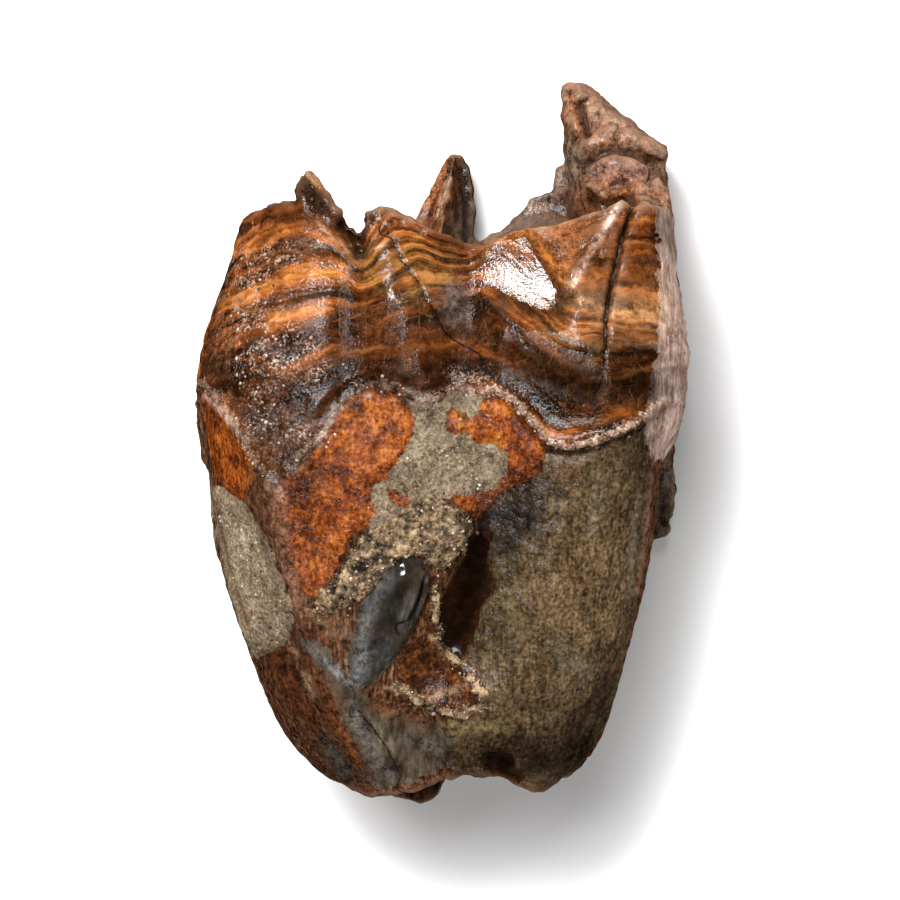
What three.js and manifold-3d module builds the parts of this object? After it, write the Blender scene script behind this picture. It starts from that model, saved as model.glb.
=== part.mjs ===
// Fossil upper molar of a woolly rhinoceros, one solid piece, lying on its cheek-side wall.
// Millimetres. +Y runs from the root tips to the broken chewing edge, +X along the tooth row,
// and +Z points up, away from the ground, out of the tongue-side face.
import * as THREE from "three";
import { mergeVertices } from "three/addons/utils/BufferGeometryUtils.js";
import Module from "manifold-3d";

const wasm = await Module();
wasm.setup();

// ---------------------------------------------------------------- driving dimensions
const CROWN_END = 41; // the loft is made this tall, and the broken edges cut it back
const ROOT_END = -40.5;
const RING_COUNT = 51; // cross-sections along the tooth
const RING_POINTS = 72; // points around each cross-section
const ENAMEL_LEDGE = 0.8; // how far the enamel cap stands proud of the root
const GROUND_BITE = 0.4; // worn off the lowest points, so that they rest on small flats
const OUTSIDE = 60; // a reach that is past the tooth on every side

const { clamp, lerp, smoothstep } = THREE.MathUtils;

// A smooth curve through [place, value] pairs, held level past both ends.
function profile(pairs) {
  const places = pairs.map((pair) => pair[0]);
  const values = pairs.map((pair) => pair[1]);
  const curve = new THREE.CubicInterpolant(places, values, 1, new Float32Array(1));
  return (place) => curve.evaluate(clamp(place, places[0], places.at(-1)))[0];
}

// ---------------------------------------------------------------- the tooth's envelope
// Each profile runs along Y and gives how far the body reaches at that height.
const leftEdge = profile([
  [-40.5, -5.5], [-39.4, -8.8], [-37.5, -12.2], [-33, -16.9], [-28.5, -19.6], [-20, -23.4],
  [-11, -26], [-2, -26.9], [6, -27.3], [11, -26.7], [16, -25], [24, -22.5], [41, -21],
]);
const rightEdge = profile([
  [-40.5, 9.5], [-38.9, 11.6], [-35.3, 15.8], [-26.4, 20], [-17.5, 22.8], [-10, 24.2],
  [-3, 24.9], [1, 26], [8, 27.3], [14, 26.8], [20, 25.8], [30, 25.2], [41, 23],
]);
const tongueSide = profile([
  [-40.5, 31], [-36, 34.5], [-28, 38.5], [-15, 42], [0, 43.6], [8, 43.2], [16, 41.6],
  [26, 38.8], [41, 34],
]);
const cheekSide = profile([
  [-40.5, 20], [-34, 17], [-24, 14], [-15, 11], [-9, 6.5], [-3, 2.4], [4, 1.4], [20, 1.4],
  [41, 2.4],
]);
// How square the section is at its upper left, upper right and lower corners: 2 is an ellipse.
const upperLeftSquare = profile([[-40, 2.3], [-20, 2.4], [0, 2.5], [20, 3.2]]);
const upperRightSquare = profile([[-40, 2.3], [-20, 2.8], [0, 4.2], [20, 6]]);
const lowerSquare = profile([[-40, 2.2], [-16, 2.4], [-4, 3.6], [20, 4.6]]);

// ---------------------------------------------------------------- relief of the upper face
// A stroke is a ridge (positive height) or a groove that follows a path of [x, y] points.
const TONGUE_RELIEF = [
  { path: [[-17, 27], [-18.5, 15], [-19, 4], [-17.5, -4]], width: 5.5, height: 1.3 }, // left lobe
  { path: [[-10.2, 22], [-10.3, 12], [-9.8, 4]], width: 1.8, height: -1.1 }, // seam beside it
  { path: [[-6.5, 25], [-5, 17], [-2.5, 8]], width: 3.2, height: 1.3 }, // middle fold
  { path: [[3.8, 23], [3, 15.5], [1.5, 7]], width: 2.6, height: -2.9 }, // deep fold
  { path: [[13, 16], [15.5, 9], [17, 1.5]], width: 4.2, height: 1.9 }, // right lobe
  { path: [[21.5, 25], [20.5, 14], [20, 4]], width: 3, height: 1 }, // right pillar
  { path: [[-17.8, -5], [-16.5, -13], [-14, -21.5], [-8, -34]], width: 2.6, height: 1.9 }, // root ridge
  { path: [[6, -4], [3.5, -14], [1, -23], [-4, -31]], width: 5, height: -2.4 }, // root furrow
  { path: [[1.5, -10.5], [-4, -12.5], [-9.5, -19]], width: 3.4, height: 1.2 }, // crust over it
  { path: [[-2.5, -15], [-5.5, -20], [-9, -26]], width: 3, height: 1 }, // mineral lens in it
  { path: [[-6, -27.5], [0, -28.5], [4.5, -28]], width: 3, height: 1 }, // crust bridge
  { path: [[-23.5, -9], [-21, -17], [-17.5, -23]], width: 2.8, height: -1.1 }, // flaked side
  { path: [[13, -6], [12, -20], [8, -33]], width: 7, height: 1.2 }, // right root's swell
];
// Relief of the cheek side: the furrow that parts its two short roots.
const CHEEK_FURROW = { path: [[3, 2], [2.5, -8], [1, -22]], width: 7, height: -4.2 };
// The wavy lower edge of the enamel on the upper face, by x, and its level on the other faces.
const tongueEnamelEdge = profile([
  [-27, 6.5], [-24, 2], [-21.5, -1], [-18.5, -4.3], [-15.5, -3.5], [-12, 1.5], [-9, 5],
  [-6, 6.2], [-2, 5.2], [1, 5.8], [5, 5], [9, 2.4], [12, -0.4], [15, -0.6], [19, 0.4], [24, 1.6],
]);
const OTHER_ENAMEL_EDGE = -2;
// The cheek-side wall has upright ribs. It rests on them.
const RIB_PLACES = [-19, -6, 7, 19.5];
const RIB_HALF_WIDTH = 3;
const RIB_HEIGHT = 2;

// Distance from a point to the line from start to end, all in the plane of the face.
function distanceToLine(x, y, start, end) {
  const along = [end[0] - start[0], end[1] - start[1]];
  const share = ((x - start[0]) * along[0] + (y - start[1]) * along[1]) /
    (along[0] ** 2 + along[1] ** 2);
  const kept = clamp(share, 0, 1);
  return Math.hypot(x - start[0] - kept * along[0], y - start[1] - kept * along[1]);
}

function strokeHeight(stroke, x, y) {
  const gaps = stroke.path
    .slice(1)
    .map((end, i) => distanceToLine(x, y, stroke.path[i], end));
  return stroke.height * Math.exp(-((Math.min(...gaps) / stroke.width) ** 2));
}

function tongueRelief(x, y) {
  return TONGUE_RELIEF.reduce((sum, stroke) => sum + strokeHeight(stroke, x, y), 0);
}

function cheekRelief(x, y) {
  const fade = smoothstep(y, -6, 4);
  const nearest = Math.min(...RIB_PLACES.map((place) => Math.abs(x - place)));
  const ribs = fade * RIB_HEIGHT * Math.exp(-((nearest / RIB_HALF_WIDTH) ** 2));
  return ribs + (1 - fade) * strokeHeight(CHEEK_FURROW, x, y);
}

// ---------------------------------------------------------------- mesh and solid helpers
// Joins rings with equal point counts into one closed surface, capped at both ends.
function loft(rings) {
  const flat = (ring) => ring.map((point) => new THREE.Vector2(point.x, point.z));
  if (THREE.ShapeUtils.isClockWise(flat(rings[0]))) rings.forEach((ring) => ring.reverse());
  const count = rings[0].length;
  const positions = rings.flat().flatMap((point) => point.toArray());
  const faces = [];
  for (let ring = 0; ring + 1 < rings.length; ring++) {
    for (let i = 0; i < count; i++) {
      const next = (i + 1) % count;
      const [a, b] = [ring * count + i, ring * count + next];
      faces.push(a, b, b + count, a, b + count, a + count);
    }
  }
  const last = (rings.length - 1) * count;
  const cap = (ring) => THREE.ShapeUtils.triangulateShape(flat(ring), []);
  for (const [a, b, c] of cap(rings[0])) faces.push(a, c, b);
  for (const [a, b, c] of cap(rings.at(-1))) faces.push(last + a, last + b, last + c);
  const geometry = new THREE.BufferGeometry();
  geometry.setAttribute("position", new THREE.Float32BufferAttribute(positions, 3));
  return geometry.setIndex(faces);
}

function solid(geometry) {
  const bare = geometry.clone();
  bare.deleteAttribute("normal");
  bare.deleteAttribute("uv");
  const merged = mergeVertices(bare, 1e-4);
  const build = (triVerts) =>
    new wasm.Manifold(
      new wasm.Mesh({ numProp: 3, vertProperties: merged.attributes.position.array, triVerts }),
    );
  const triangles = new Uint32Array(merged.index.array);
  const made = build(triangles);
  return made.volume() > 0 ? made : build(triangles.reverse());
}

// A blunt rod that runs along Y. Each row is [y, x, z, half width, half depth].
function limb(rows, sides = 20) {
  const rings = rows.map(([y, x, z, halfWidth, halfDepth]) =>
    Array.from({ length: sides }, (_, i) => {
      const turn = (2 * Math.PI * i) / sides;
      return new THREE.Vector3(
        x + halfWidth * Math.cos(turn), y, z + halfDepth * Math.sin(turn),
      );
    }),
  );
  return solid(loft(rings));
}

// A hollow sunk along Y from the mouth to the floor. The outline holds [x, z] points.
function hollow(outline, mouthY, floorY, floorShare, steps = 6, sides = 26) {
  const closed = new THREE.CatmullRomCurve3(
    outline.map(([x, z]) => new THREE.Vector3(x, 0, z)), true, "centripetal",
  );
  const edge = closed.getSpacedPoints(sides).slice(0, sides);
  const centre = new THREE.Vector3();
  edge.forEach((point) => centre.addScaledVector(point, 1 / sides));
  const rings = Array.from({ length: steps + 1 }, (_, step) => {
    const depth = step / steps;
    // The wall stays steep at first and closes quickly near the floor.
    const share = lerp(1, floorShare, 1 - Math.sqrt(1 - depth ** 2));
    return edge.map((point) => {
      const moved = point.clone().sub(centre).multiplyScalar(share).add(centre);
      return moved.setY(lerp(mouthY, floorY, depth));
    });
  });
  return solid(loft(rings));
}

// A slab of everything past a broken edge, on the side of larger Y, or of smaller Y for side -1.
// The line holds [across, y] points.
function slabPast(line, side, thickness) {
  const outline = new THREE.Shape(line.map(([across, y]) => new THREE.Vector2(across, y)));
  outline.lineTo(line.at(-1)[0], side * OUTSIDE);
  outline.lineTo(line[0][0], side * OUTSIDE);
  return new THREE.ExtrudeGeometry(outline, { depth: thickness, bevelEnabled: false });
}

// The break of a wall that faces up or down: its line runs along X.
function wallBreak(line, side, lowZ, highZ) {
  return solid(slabPast(line, side, highZ - lowZ).translate(0, 0, lowZ));
}

// The break of a wall that faces left or right: its line runs along Z.
function endBreak(line, side, lowX, highX) {
  const slab = slabPast(line, side, highX - lowX);
  return solid(slab.rotateY(-Math.PI / 2).translate(highX, 0, 0));
}

function ball(radius, x, y, z, stretch = [1, 1, 1]) {
  const shape = new THREE.IcosahedronGeometry(radius, 2);
  return solid(shape.scale(...stretch).translate(x, y, z));
}

// ---------------------------------------------------------------- the tooth
function sectionPoint(turn, y) {
  const [left, right] = [leftEdge(y), rightEdge(y)];
  const [top, bottom] = [tongueSide(y), cheekSide(y)];
  const middle = new THREE.Vector3((left + right) / 2, y, lerp(bottom, top, 0.42));
  const [across, up] = [Math.cos(turn), Math.sin(turn)];
  const halfWidth = (right - left) / 2;
  const halfDepth = up > 0 ? top - middle.z : middle.z - bottom;
  const upper = lerp(upperLeftSquare(y), upperRightSquare(y), smoothstep(across, -0.7, 0.7));
  const power = lerp(lowerSquare(y), upper, smoothstep(up, -0.15, 0.15));
  const reach = (Math.abs(across / halfWidth) ** power + Math.abs(up / halfDepth) ** power) **
    (-1 / power);
  const out = new THREE.Vector3(across, 0, up);
  const plain = middle.clone().addScaledVector(out, reach);
  const upperFace = smoothstep(up, 0, 0.45);
  const lowerFace = smoothstep(-up, 0.25, 0.6);
  const edge = lerp(OTHER_ENAMEL_EDGE, tongueEnamelEdge(plain.x), upperFace);
  const sunk = ENAMEL_LEDGE * (1 - smoothstep(y, edge - 1.6, edge + 1));
  const relief = upperFace * tongueRelief(plain.x, y) + lowerFace * cheekRelief(plain.x, y);
  return plain.addScaledVector(out, relief - sunk * smoothstep(y, -34, -20));
}

function body() {
  const rings = Array.from({ length: RING_COUNT }, (_, ring) => {
    const y = lerp(ROOT_END, CROWN_END, ring / (RING_COUNT - 1));
    return Array.from({ length: RING_POINTS }, (_, i) =>
      sectionPoint((-2 * Math.PI * i) / RING_POINTS, y),
    );
  });
  return solid(loft(rings));
}

// The broken upper edge of the tongue-side wall, from left to right.
const TONGUE_RIM = [
  [-40, 23], [-22.6, 25.1], [-21.6, 25.2], [-19.6, 26.1], [-17, 26.9], [-15.9, 27.2], [-15.6, 29],
  [-14.9, 30.2], [-14.2, 29.9], [-12.9, 28], [-11.7, 26.1], [-10.7, 25.1], [-10.2, 24],
  [-9, 23], [-8.3, 24], [-8.1, 25.5], [-7.1, 25.9], [-5.5, 25.6], [-4.1, 25], [-1.4, 23.6],
  [1.4, 22.4], [3.9, 21.7], [5.2, 22.1], [6.8, 22.8], [9, 23.5], [12.9, 24.1], [15.6, 24.9],
  [18, 25.8], [19.6, 27], [21.6, 27.8], [23.2, 27.5], [24.7, 25.8], [26, 24.5], [40, 23],
];
// The broken edge of the cheek-side wall, with a blade in the middle and a horn on the right.
const CHEEK_RIM = [
  [-40, 18.5], [-24, 18.5], [-19, 16.5], [-15, 17.5], [-8, 16.5], [-4, 22], [-3.1, 25.2],
  [0.2, 32.2], [1.1, 33], [2.2, 32.5], [3, 31.4], [3.3, 28.3], [3.9, 26.2], [3.3, 23.4],
  [4, 22.6], [6.5, 24], [8.6, 25.9], [9.8, 27.7], [11.4, 28.3], [12.3, 28.4], [12.7, 31],
  [13.8, 31.8], [14.2, 35], [13.7, 38.4], [14.1, 39.8], [15.5, 40.4], [17.7, 39.5],
  [20.5, 36.8], [23.2, 35], [24.7, 32.3], [25.4, 29], [25.8, 26], [40, 24],
];
// The broken edges of the end walls, as [z, y] points from the cheek side up.
const LEFT_RIM = [[-5, 16], [8, 18], [14, 16.5], [20, 18.5], [24, 21.5], [29, 25.5], [60, 30]];
const RIGHT_RIM = [[-5, 31], [12, 31], [20, 28], [27, 26.5], [33, 26], [60, 28]];
const WALL_SPLIT = 20; // the height where the cheek-side break gives way to the tongue-side one

function crownHollows() {
  const basin = hollow(
    [[-21.5, 22], [-18.5, 32.5], [-9, 36.2], [2.5, 34.6], [14, 37], [21.6, 34], [22.2, 20],
      [20, 8.5], [6, 6.4], [-9, 6.4], [-19.5, 9.5]],
    OUTSIDE, 13.5, 0.86, 5, 34,
  );
  const middleValley = hollow(
    [[-2.5, 31.5], [2.5, 32.2], [7.5, 33], [9.6, 27], [7, 19.5], [3, 11.5], [-6, 8.8],
      [-12.5, 10.5], [-10.5, 15], [-4.5, 18.5], [-3, 25]],
    20, 1.5, 0.35, 7, 28,
  );
  const leftPit = hollow(
    [[-19.5, 23.5], [-17.5, 31], [-12, 34.3], [-6.8, 31.5], [-7.6, 24], [-12.5, 19.6], [-17.5, 19]],
    20, 4.5, 0.35, 6, 22,
  );
  const rightPit = hollow(
    [[13, 34.2], [18.5, 34.2], [20.4, 26], [19.6, 16.5], [14.6, 10.2], [10.2, 12.6], [11.6, 19],
      [13.6, 26.5]],
    20, 3, 0.3, 6, 22,
  );
  return [basin, middleValley, leftPit, rightPit];
}

// The thick horn on the right of the cheek-side wall, with its knuckled tip, its brow and,
// below the brow, a flaked hollow. The broken edge of the wall trims its outline.
function horn() {
  const shaft = limb([
    [6, 20, 12, 4.6, 9], [16, 20.4, 11.6, 5.2, 10], [23, 20.4, 11, 5.6, 9.8],
    [27, 20.2, 10.4, 5.8, 9.2], [29.5, 20.2, 10, 6, 9.4], [31.5, 19.8, 9.8, 6, 9.8],
    [33.5, 18.8, 9.4, 5.8, 8.6], [36, 17.4, 8.8, 4.8, 6.8], [38.5, 16.2, 8.4, 3.4, 5.6],
    [40.6, 15.6, 8, 2, 3.6],
  ], 24);
  const knuckles = [
    ball(2.2, 15.4, 38.6, 12), ball(1.8, 14.8, 34.2, 13.6, [0.9, 1.5, 1]),
    ball(2, 21.4, 33.2, 15.6, [1.9, 0.7, 1]), ball(1.6, 17.4, 35.6, 13.8, [1, 1.6, 0.8]),
  ];
  const flake = ball(5.2, 19.6, 27.4, 22.4, [1, 0.85, 0.75]);
  return knuckles.reduce((sum, knuckle) => sum.add(knuckle), shaft).subtract(flake);
}

// The upright blade in the middle: a three-sided splinter with its sharp crest facing up.
function blade() {
  const section = (y, left, crestX, right, base, crest) =>
    [[left, base], [crestX, crest], [right, base]].map(([x, z]) => new THREE.Vector3(x, y, z));
  return solid(loft([
    section(8, -6, -1, 4.6, 4, 17), section(20, -4.6, -0.8, 4, 4, 15.5),
    section(27, -2, 0.3, 3.8, 4, 12), section(32.6, 0.6, 1.2, 2.4, 4, 8),
  ]));
}

// The two short roots of the cheek side. The tooth rests on them and on the ribs.
function cheekRoots() {
  const right = limb([
    [9, 20, 8, 4, 6], [3, 21.4, 6.2, 4.4, 5.8], [-3, 22, 4.8, 4.2, 5.3], [-7, 22.2, 4.4, 4, 5],
    [-9.4, 22.1, 4.3, 3.3, 4.1], [-10.7, 21.9, 4.2, 2.1, 2.7], [-11.2, 21.8, 4.2, 0.8, 1.2],
  ]);
  const left = limb([
    [9, -17, 8, 5, 6], [2, -17, 6.2, 5, 6], [-5, -16.6, 4.9, 4.9, 5.5], [-10, -16.2, 4.3, 4.2, 4.8],
    [-13, -16, 4.1, 3, 3.6], [-14.4, -15.9, 4.1, 1.2, 1.6],
  ]);
  return [right, left];
}

// The open pulp hollow at the broken root end.
function pulpHollow() {
  const mouth = [[-6.5, 27.6], [-1, 29.6], [6, 29.4], [9.5, 27.5], [7, 25.4], [0, 24.6], [-5.5, 25.4]];
  return hollow(mouth, -OUTSIDE, -27, 0.3, 6, 20);
}

const PULP_LEVEL = 27; // the height where the two lips of the broken root end meet
// The broken root end: the tongue-side lip above the pulp hollow, and the cheek-side lip below it.
const ROOT_BREAK_UPPER = [
  [-40, -37], [-10.7, -37.7], [-8.5, -38.8], [-5.2, -38.6], [-2.5, -38], [-0.3, -37],
  [2.5, -36.4], [6.3, -36.7], [8.5, -37.6], [10.7, -38.3], [12, -38], [13.2, -36.9], [40, -36],
];
const ROOT_BREAK_LOWER = [
  [-40, -36.5], [-9, -37.4], [-5.3, -39], [-2.5, -39.9], [-0.8, -39.2], [0.5, -36.5],
  [4, -35.4], [12, -34.5], [40, -34],
];

function tooth() {
  let shape = body();
  for (const part of crownHollows()) shape = shape.subtract(part);
  shape = shape.subtract(endBreak(LEFT_RIM, 1, -OUTSIDE, -16));
  shape = shape.subtract(endBreak(RIGHT_RIM, 1, 16, OUTSIDE));
  for (const part of [blade(), horn(), ...cheekRoots()]) shape = shape.add(part);
  shape = shape.subtract(wallBreak(CHEEK_RIM, 1, -OUTSIDE, WALL_SPLIT));
  shape = shape.subtract(wallBreak(TONGUE_RIM, 1, WALL_SPLIT - 0.1, OUTSIDE));
  shape = shape.subtract(pulpHollow());
  shape = shape.subtract(wallBreak(ROOT_BREAK_UPPER, -1, PULP_LEVEL, OUTSIDE));
  shape = shape.subtract(wallBreak(ROOT_BREAK_LOWER, -1, -OUTSIDE, PULP_LEVEL));
  const box = shape.boundingBox();
  const ground = box.min[2] + GROUND_BITE;
  const floor = new THREE.BoxGeometry(2 * OUTSIDE, 2 * OUTSIDE, OUTSIDE);
  shape = shape.subtract(solid(floor.translate(0, 0, ground - OUTSIDE / 2)));
  const pieces = shape.decompose().sort((a, b) => b.volume() - a.volume());
  return { shape: pieces[0], ground, box };
}

function meshOf({ shape, ground, box }) {
  const made = shape.getMesh();
  const geometry = new THREE.BufferGeometry();
  geometry.setAttribute("position", new THREE.BufferAttribute(made.vertProperties, 3));
  geometry.setIndex(new THREE.BufferAttribute(made.triVerts, 1));
  const centre = [0, 1].map((axis) => (box.min[axis] + box.max[axis]) / 2);
  geometry.translate(-centre[0], -centre[1], -ground);
  geometry.computeVertexNormals();
  const fossil = new THREE.MeshStandardMaterial({
    color: new THREE.Color(0.3, 0.15, 0.07), roughness: 0.35, metalness: 0, flatShading: true,
  });
  const mesh = new THREE.Mesh(geometry, fossil);
  mesh.name = "tooth";
  return mesh;
}

const part = new THREE.Group();
part.add(meshOf(tooth()));
export default part;
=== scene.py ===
# %% [markdown]
# # Fossil molar of a woolly rhinoceros
# The real tooth is one lump of mineral. A cap of glossy, banded enamel covers the crown, and the
# long root below it is dull bark-like tissue with rust, cement and crust grown over it.
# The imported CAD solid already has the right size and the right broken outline. This lesson copies
# it, smooths its facets away, carves the small relief and paints the minerals on with nodes.

import bmesh
import bpy
import numpy as np
from mathutils import Matrix, Vector
from mathutils.bvhtree import BVHTree
from mathutils.kdtree import KDTree


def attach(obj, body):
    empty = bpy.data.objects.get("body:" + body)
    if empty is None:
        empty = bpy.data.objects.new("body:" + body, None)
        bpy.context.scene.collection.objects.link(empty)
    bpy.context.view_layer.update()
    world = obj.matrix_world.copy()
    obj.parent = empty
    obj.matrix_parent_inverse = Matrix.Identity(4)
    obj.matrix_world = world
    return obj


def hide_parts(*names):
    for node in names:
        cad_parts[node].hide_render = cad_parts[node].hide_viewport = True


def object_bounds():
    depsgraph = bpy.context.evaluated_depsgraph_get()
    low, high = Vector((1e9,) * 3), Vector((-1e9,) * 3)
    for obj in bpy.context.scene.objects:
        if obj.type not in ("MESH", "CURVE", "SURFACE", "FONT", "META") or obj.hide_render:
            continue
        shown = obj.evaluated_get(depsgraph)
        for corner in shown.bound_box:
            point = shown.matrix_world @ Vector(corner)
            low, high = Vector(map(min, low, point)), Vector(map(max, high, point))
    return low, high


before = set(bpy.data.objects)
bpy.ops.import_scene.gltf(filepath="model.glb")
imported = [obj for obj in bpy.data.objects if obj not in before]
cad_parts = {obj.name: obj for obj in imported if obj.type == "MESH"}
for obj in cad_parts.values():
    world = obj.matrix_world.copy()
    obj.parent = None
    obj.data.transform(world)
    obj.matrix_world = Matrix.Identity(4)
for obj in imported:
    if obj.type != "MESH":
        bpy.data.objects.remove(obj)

cad_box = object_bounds()
MM = 0.001  # metres in a millimetre
print("CAD box in mm:", [[round(v / MM, 2) for v in corner] for corner in cad_box])

# %% [markdown]
# ## The camera
# The tooth lies on its cheek side on a table and is seen from straight above, through a long lens
# so that near and far parts keep almost the same scale. A camera that isn't turned already looks
# down, with +Y up in the frame, so it only has to be put in its place.

# %% Camera above the tooth
CAMERA_AIM = Vector((0.84, -0.89, 22)) * MM
CAMERA_RISE = 1.0  # metres above the point aimed at
CAMERA_LENS, SENSOR_WIDTH = 359, 36  # mm
CAMERA_REACH = 20  # metres

camera_data = bpy.data.cameras.new("camera")
camera_data.lens = CAMERA_LENS
camera_data.sensor_width = SENSOR_WIDTH
camera_data.clip_end = CAMERA_REACH
camera = bpy.data.objects.new("camera", camera_data)
camera.location = CAMERA_AIM + Vector((0, 0, CAMERA_RISE))
bpy.context.scene.collection.objects.link(camera)
bpy.context.scene.camera = camera
print("camera", tuple(round(v, 4) for v in camera.location))

# %% [markdown]
# ## Making nodes
# The light of the room, the materials and the grains are all graphs of nodes. One function makes a
# node of any kind, from its settings and from what goes in: plain values, or other nodes' outputs.

# %% Any node
def set_stops(ramp, stops):
    """Gives a colour ramp its stops, each a place from 0 to 1 and a colour."""
    while len(ramp.elements) < len(stops):
        ramp.elements.new(1)
    for element, (place, colour) in zip(ramp.elements, stops):
        element.position, element.color = place, (*colour, 1)


def set_inputs(tree, node, inputs):
    """Gives each input its value, or joins it to the output that the value stands for."""
    for name, value in inputs.items():
        source = getattr(value, "socket", value)
        if isinstance(source, bpy.types.NodeSocket):
            tree.links.new(source, node.inputs[name])
        else:
            node.inputs[name].default_value = value


def make_node(tree, kind, settings=None, inputs=None):
    made = tree.nodes.new(kind)
    for name, value in (settings or {}).items():
        if name == "stops":
            set_stops(made.color_ramp, value)
        else:
            setattr(made, name, value)
    set_inputs(tree, made, inputs or {})
    return made


# %% [markdown]
# ## Light and table
# A wide soft box stands at the upper left. It is so wide that its reflection would lay a grey veil
# over the dark enamel, so it is kept out of reflections, as a crossed polariser does in a studio.
# A small lamp just in front of it gives the crisp highlights. Pale walls fill the shadows, and the
# table is a plain white sheet that burns out to white and keeps only the shadow beside the tooth.

# %% Soft box, lamp, sky and table
BOX_DIRECTION = Vector((-0.20, 0.34, 0.90)).normalized()
BOX_SIZE, BOX_POWER, BOX_DISTANCE = 0.55, 13.5, 1.0  # metres, watts, metres
LAMP_SIZE, LAMP_POWER, LAMP_DISTANCE = 0.20, 6.0, 0.92
WALL_LIGHT, CEILING_LIGHT = 0.85, 0.10
WALL_TOP, WALL_FADE = 0.50, 0.80  # sines of the heights where the walls start to fade and end


def square_light(name, size, power, distance):
    data = bpy.data.lights.new(name, "AREA")
    data.shape = "SQUARE"
    data.size, data.energy = size, power
    light = bpy.data.objects.new(name, data)
    light.location = BOX_DIRECTION * distance
    light.rotation_euler = BOX_DIRECTION.to_track_quat("Z", "Y").to_euler()
    bpy.context.scene.collection.objects.link(light)
    return light


soft_box = square_light("soft_box", BOX_SIZE, BOX_POWER, BOX_DISTANCE)
soft_box.visible_glossy = False
square_light("lamp", LAMP_SIZE, LAMP_POWER, LAMP_DISTANCE)

room = bpy.data.worlds.new("white_room")
room.use_nodes = True
air = room.node_tree
direction = make_node(air, "ShaderNodeTexCoord")
parts = make_node(air, "ShaderNodeSeparateXYZ", {}, {0: direction.outputs["Generated"]})
fade = make_node(air, "ShaderNodeMapRange", {"interpolation_type": "SMOOTHSTEP"}, {
    "Value": parts.outputs["Z"], "From Min": WALL_TOP, "From Max": WALL_FADE,
    "To Min": WALL_LIGHT, "To Max": CEILING_LIGHT,
})
set_inputs(air, air.nodes["Background"], {"Color": (1, 1, 1, 1), "Strength": fade.outputs[0]})
room.cycles_visibility.glossy = False
bpy.context.scene.world = room
bpy.context.scene.view_settings.view_transform = "Standard"

TABLE_HALF = 3.0  # metres
TABLE_PAINT = {
    "Base Color": (0.95, 0.95, 0.95, 1), "Roughness": 0.9, "Specular IOR Level": 0.1,
}
table_mesh = bpy.data.meshes.new("table")
table_mesh.from_pydata(
    [(-TABLE_HALF, -TABLE_HALF, 0), (TABLE_HALF, -TABLE_HALF, 0),
     (TABLE_HALF, TABLE_HALF, 0), (-TABLE_HALF, TABLE_HALF, 0)],
    [], [(0, 1, 2, 3)],
)
table = bpy.data.objects.new("table", table_mesh)
bpy.context.scene.collection.objects.link(table)
paper = bpy.data.materials.new("white_table")
paper.use_nodes = True
set_inputs(paper.node_tree, paper.node_tree.nodes["Principled BSDF"], TABLE_PAINT)
table_mesh.materials.append(paper)
table.visible_glossy = False  # or its white would veil the tooth's sloping sides
print("soft box at", tuple(round(v, 3) for v in soft_box.location))

# %% [markdown]
# ## An even skin over the solid
# The solid is made of long flat facets, and the real tooth has none. Subdividing such a mesh keeps
# its slivers. A voxel remesh lays small even squares over it instead, which any later carving can
# move. The work is done in millimetres, and the mesh goes back to metres at the end.

# %% Copy, merge and remesh
SKIN_SIZE = 0.32  # side of a square, in mm


def applied(thing):
    """The mesh that an object shows with its modifiers."""
    shown = thing.evaluated_get(bpy.context.evaluated_depsgraph_get())
    return bpy.data.meshes.new_from_object(shown)


tooth = bpy.data.objects.new("fossil_tooth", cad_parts["tooth"].data.copy())
bpy.context.scene.collection.objects.link(tooth)
welding = bmesh.new()
welding.from_mesh(tooth.data)
bmesh.ops.remove_doubles(welding, verts=welding.verts, dist=1e-6)
welding.to_mesh(tooth.data)
welding.free()
tooth.data.materials.clear()
tooth.data.transform(Matrix.Scale(1 / MM, 4))
skin = tooth.modifiers.new("even skin", "REMESH")
skin.mode = "VOXEL"
skin.voxel_size = SKIN_SIZE
tooth.data = applied(tooth)
tooth.modifiers.clear()
print("skin:", len(tooth.data.vertices), "points")

# %% [markdown]
# ## Smooth the facets, keep the breaks
# Fossil enamel is smooth, but its broken rims are crisp. Averaging each point with its neighbours
# smooths both. So the turn of the surface is measured first, and points on a sharp turn are held.
# A step inwards is followed by a slightly larger step outwards, so that the tooth doesn't shrink.

# %% Neighbour averages
class Net:
    """Which points of a mesh are joined, for averaging values over its surface."""

    def __init__(self, mesh):
        self.count = len(mesh.vertices)
        ends = np.empty(len(mesh.edges) * 2, np.int32)
        mesh.edges.foreach_get("vertices", ends)
        self.first, self.second = ends.reshape(-1, 2).T
        self.here = np.concatenate([self.first, self.second])
        self.there = np.concatenate([self.second, self.first])
        self.share = 1 / np.maximum(np.bincount(self.here, minlength=self.count), 1)

    def mean(self, values):
        if values.ndim > 1:
            return np.stack([self.mean(column) for column in values.T], 1)
        return np.bincount(self.here, values[self.there], self.count) * self.share

    def spread(self, values, rounds):
        for _ in range(rounds):
            values = self.mean(values)
        return values


def points_of(mesh):
    flat = np.empty(len(mesh.vertices) * 3)
    mesh.vertices.foreach_get("co", flat)
    return flat.reshape(-1, 3)


def normals_of(mesh):
    flat = np.empty(len(mesh.vertices) * 3, np.float32)
    mesh.vertex_normals.foreach_get("vector", flat)
    return flat.reshape(-1, 3).astype(float)


def move_points(mesh, points):
    mesh.vertices.foreach_set("co", points.ravel())
    mesh.update()


def rise(values, low, high):
    """0 below low, 1 above high, and a soft curve between."""
    share = np.clip((values - low) / (high - low), 0, 1)
    return share * share * (3 - 2 * share)


net = Net(tooth.data)
print("joined pairs:", len(net.first))

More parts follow.
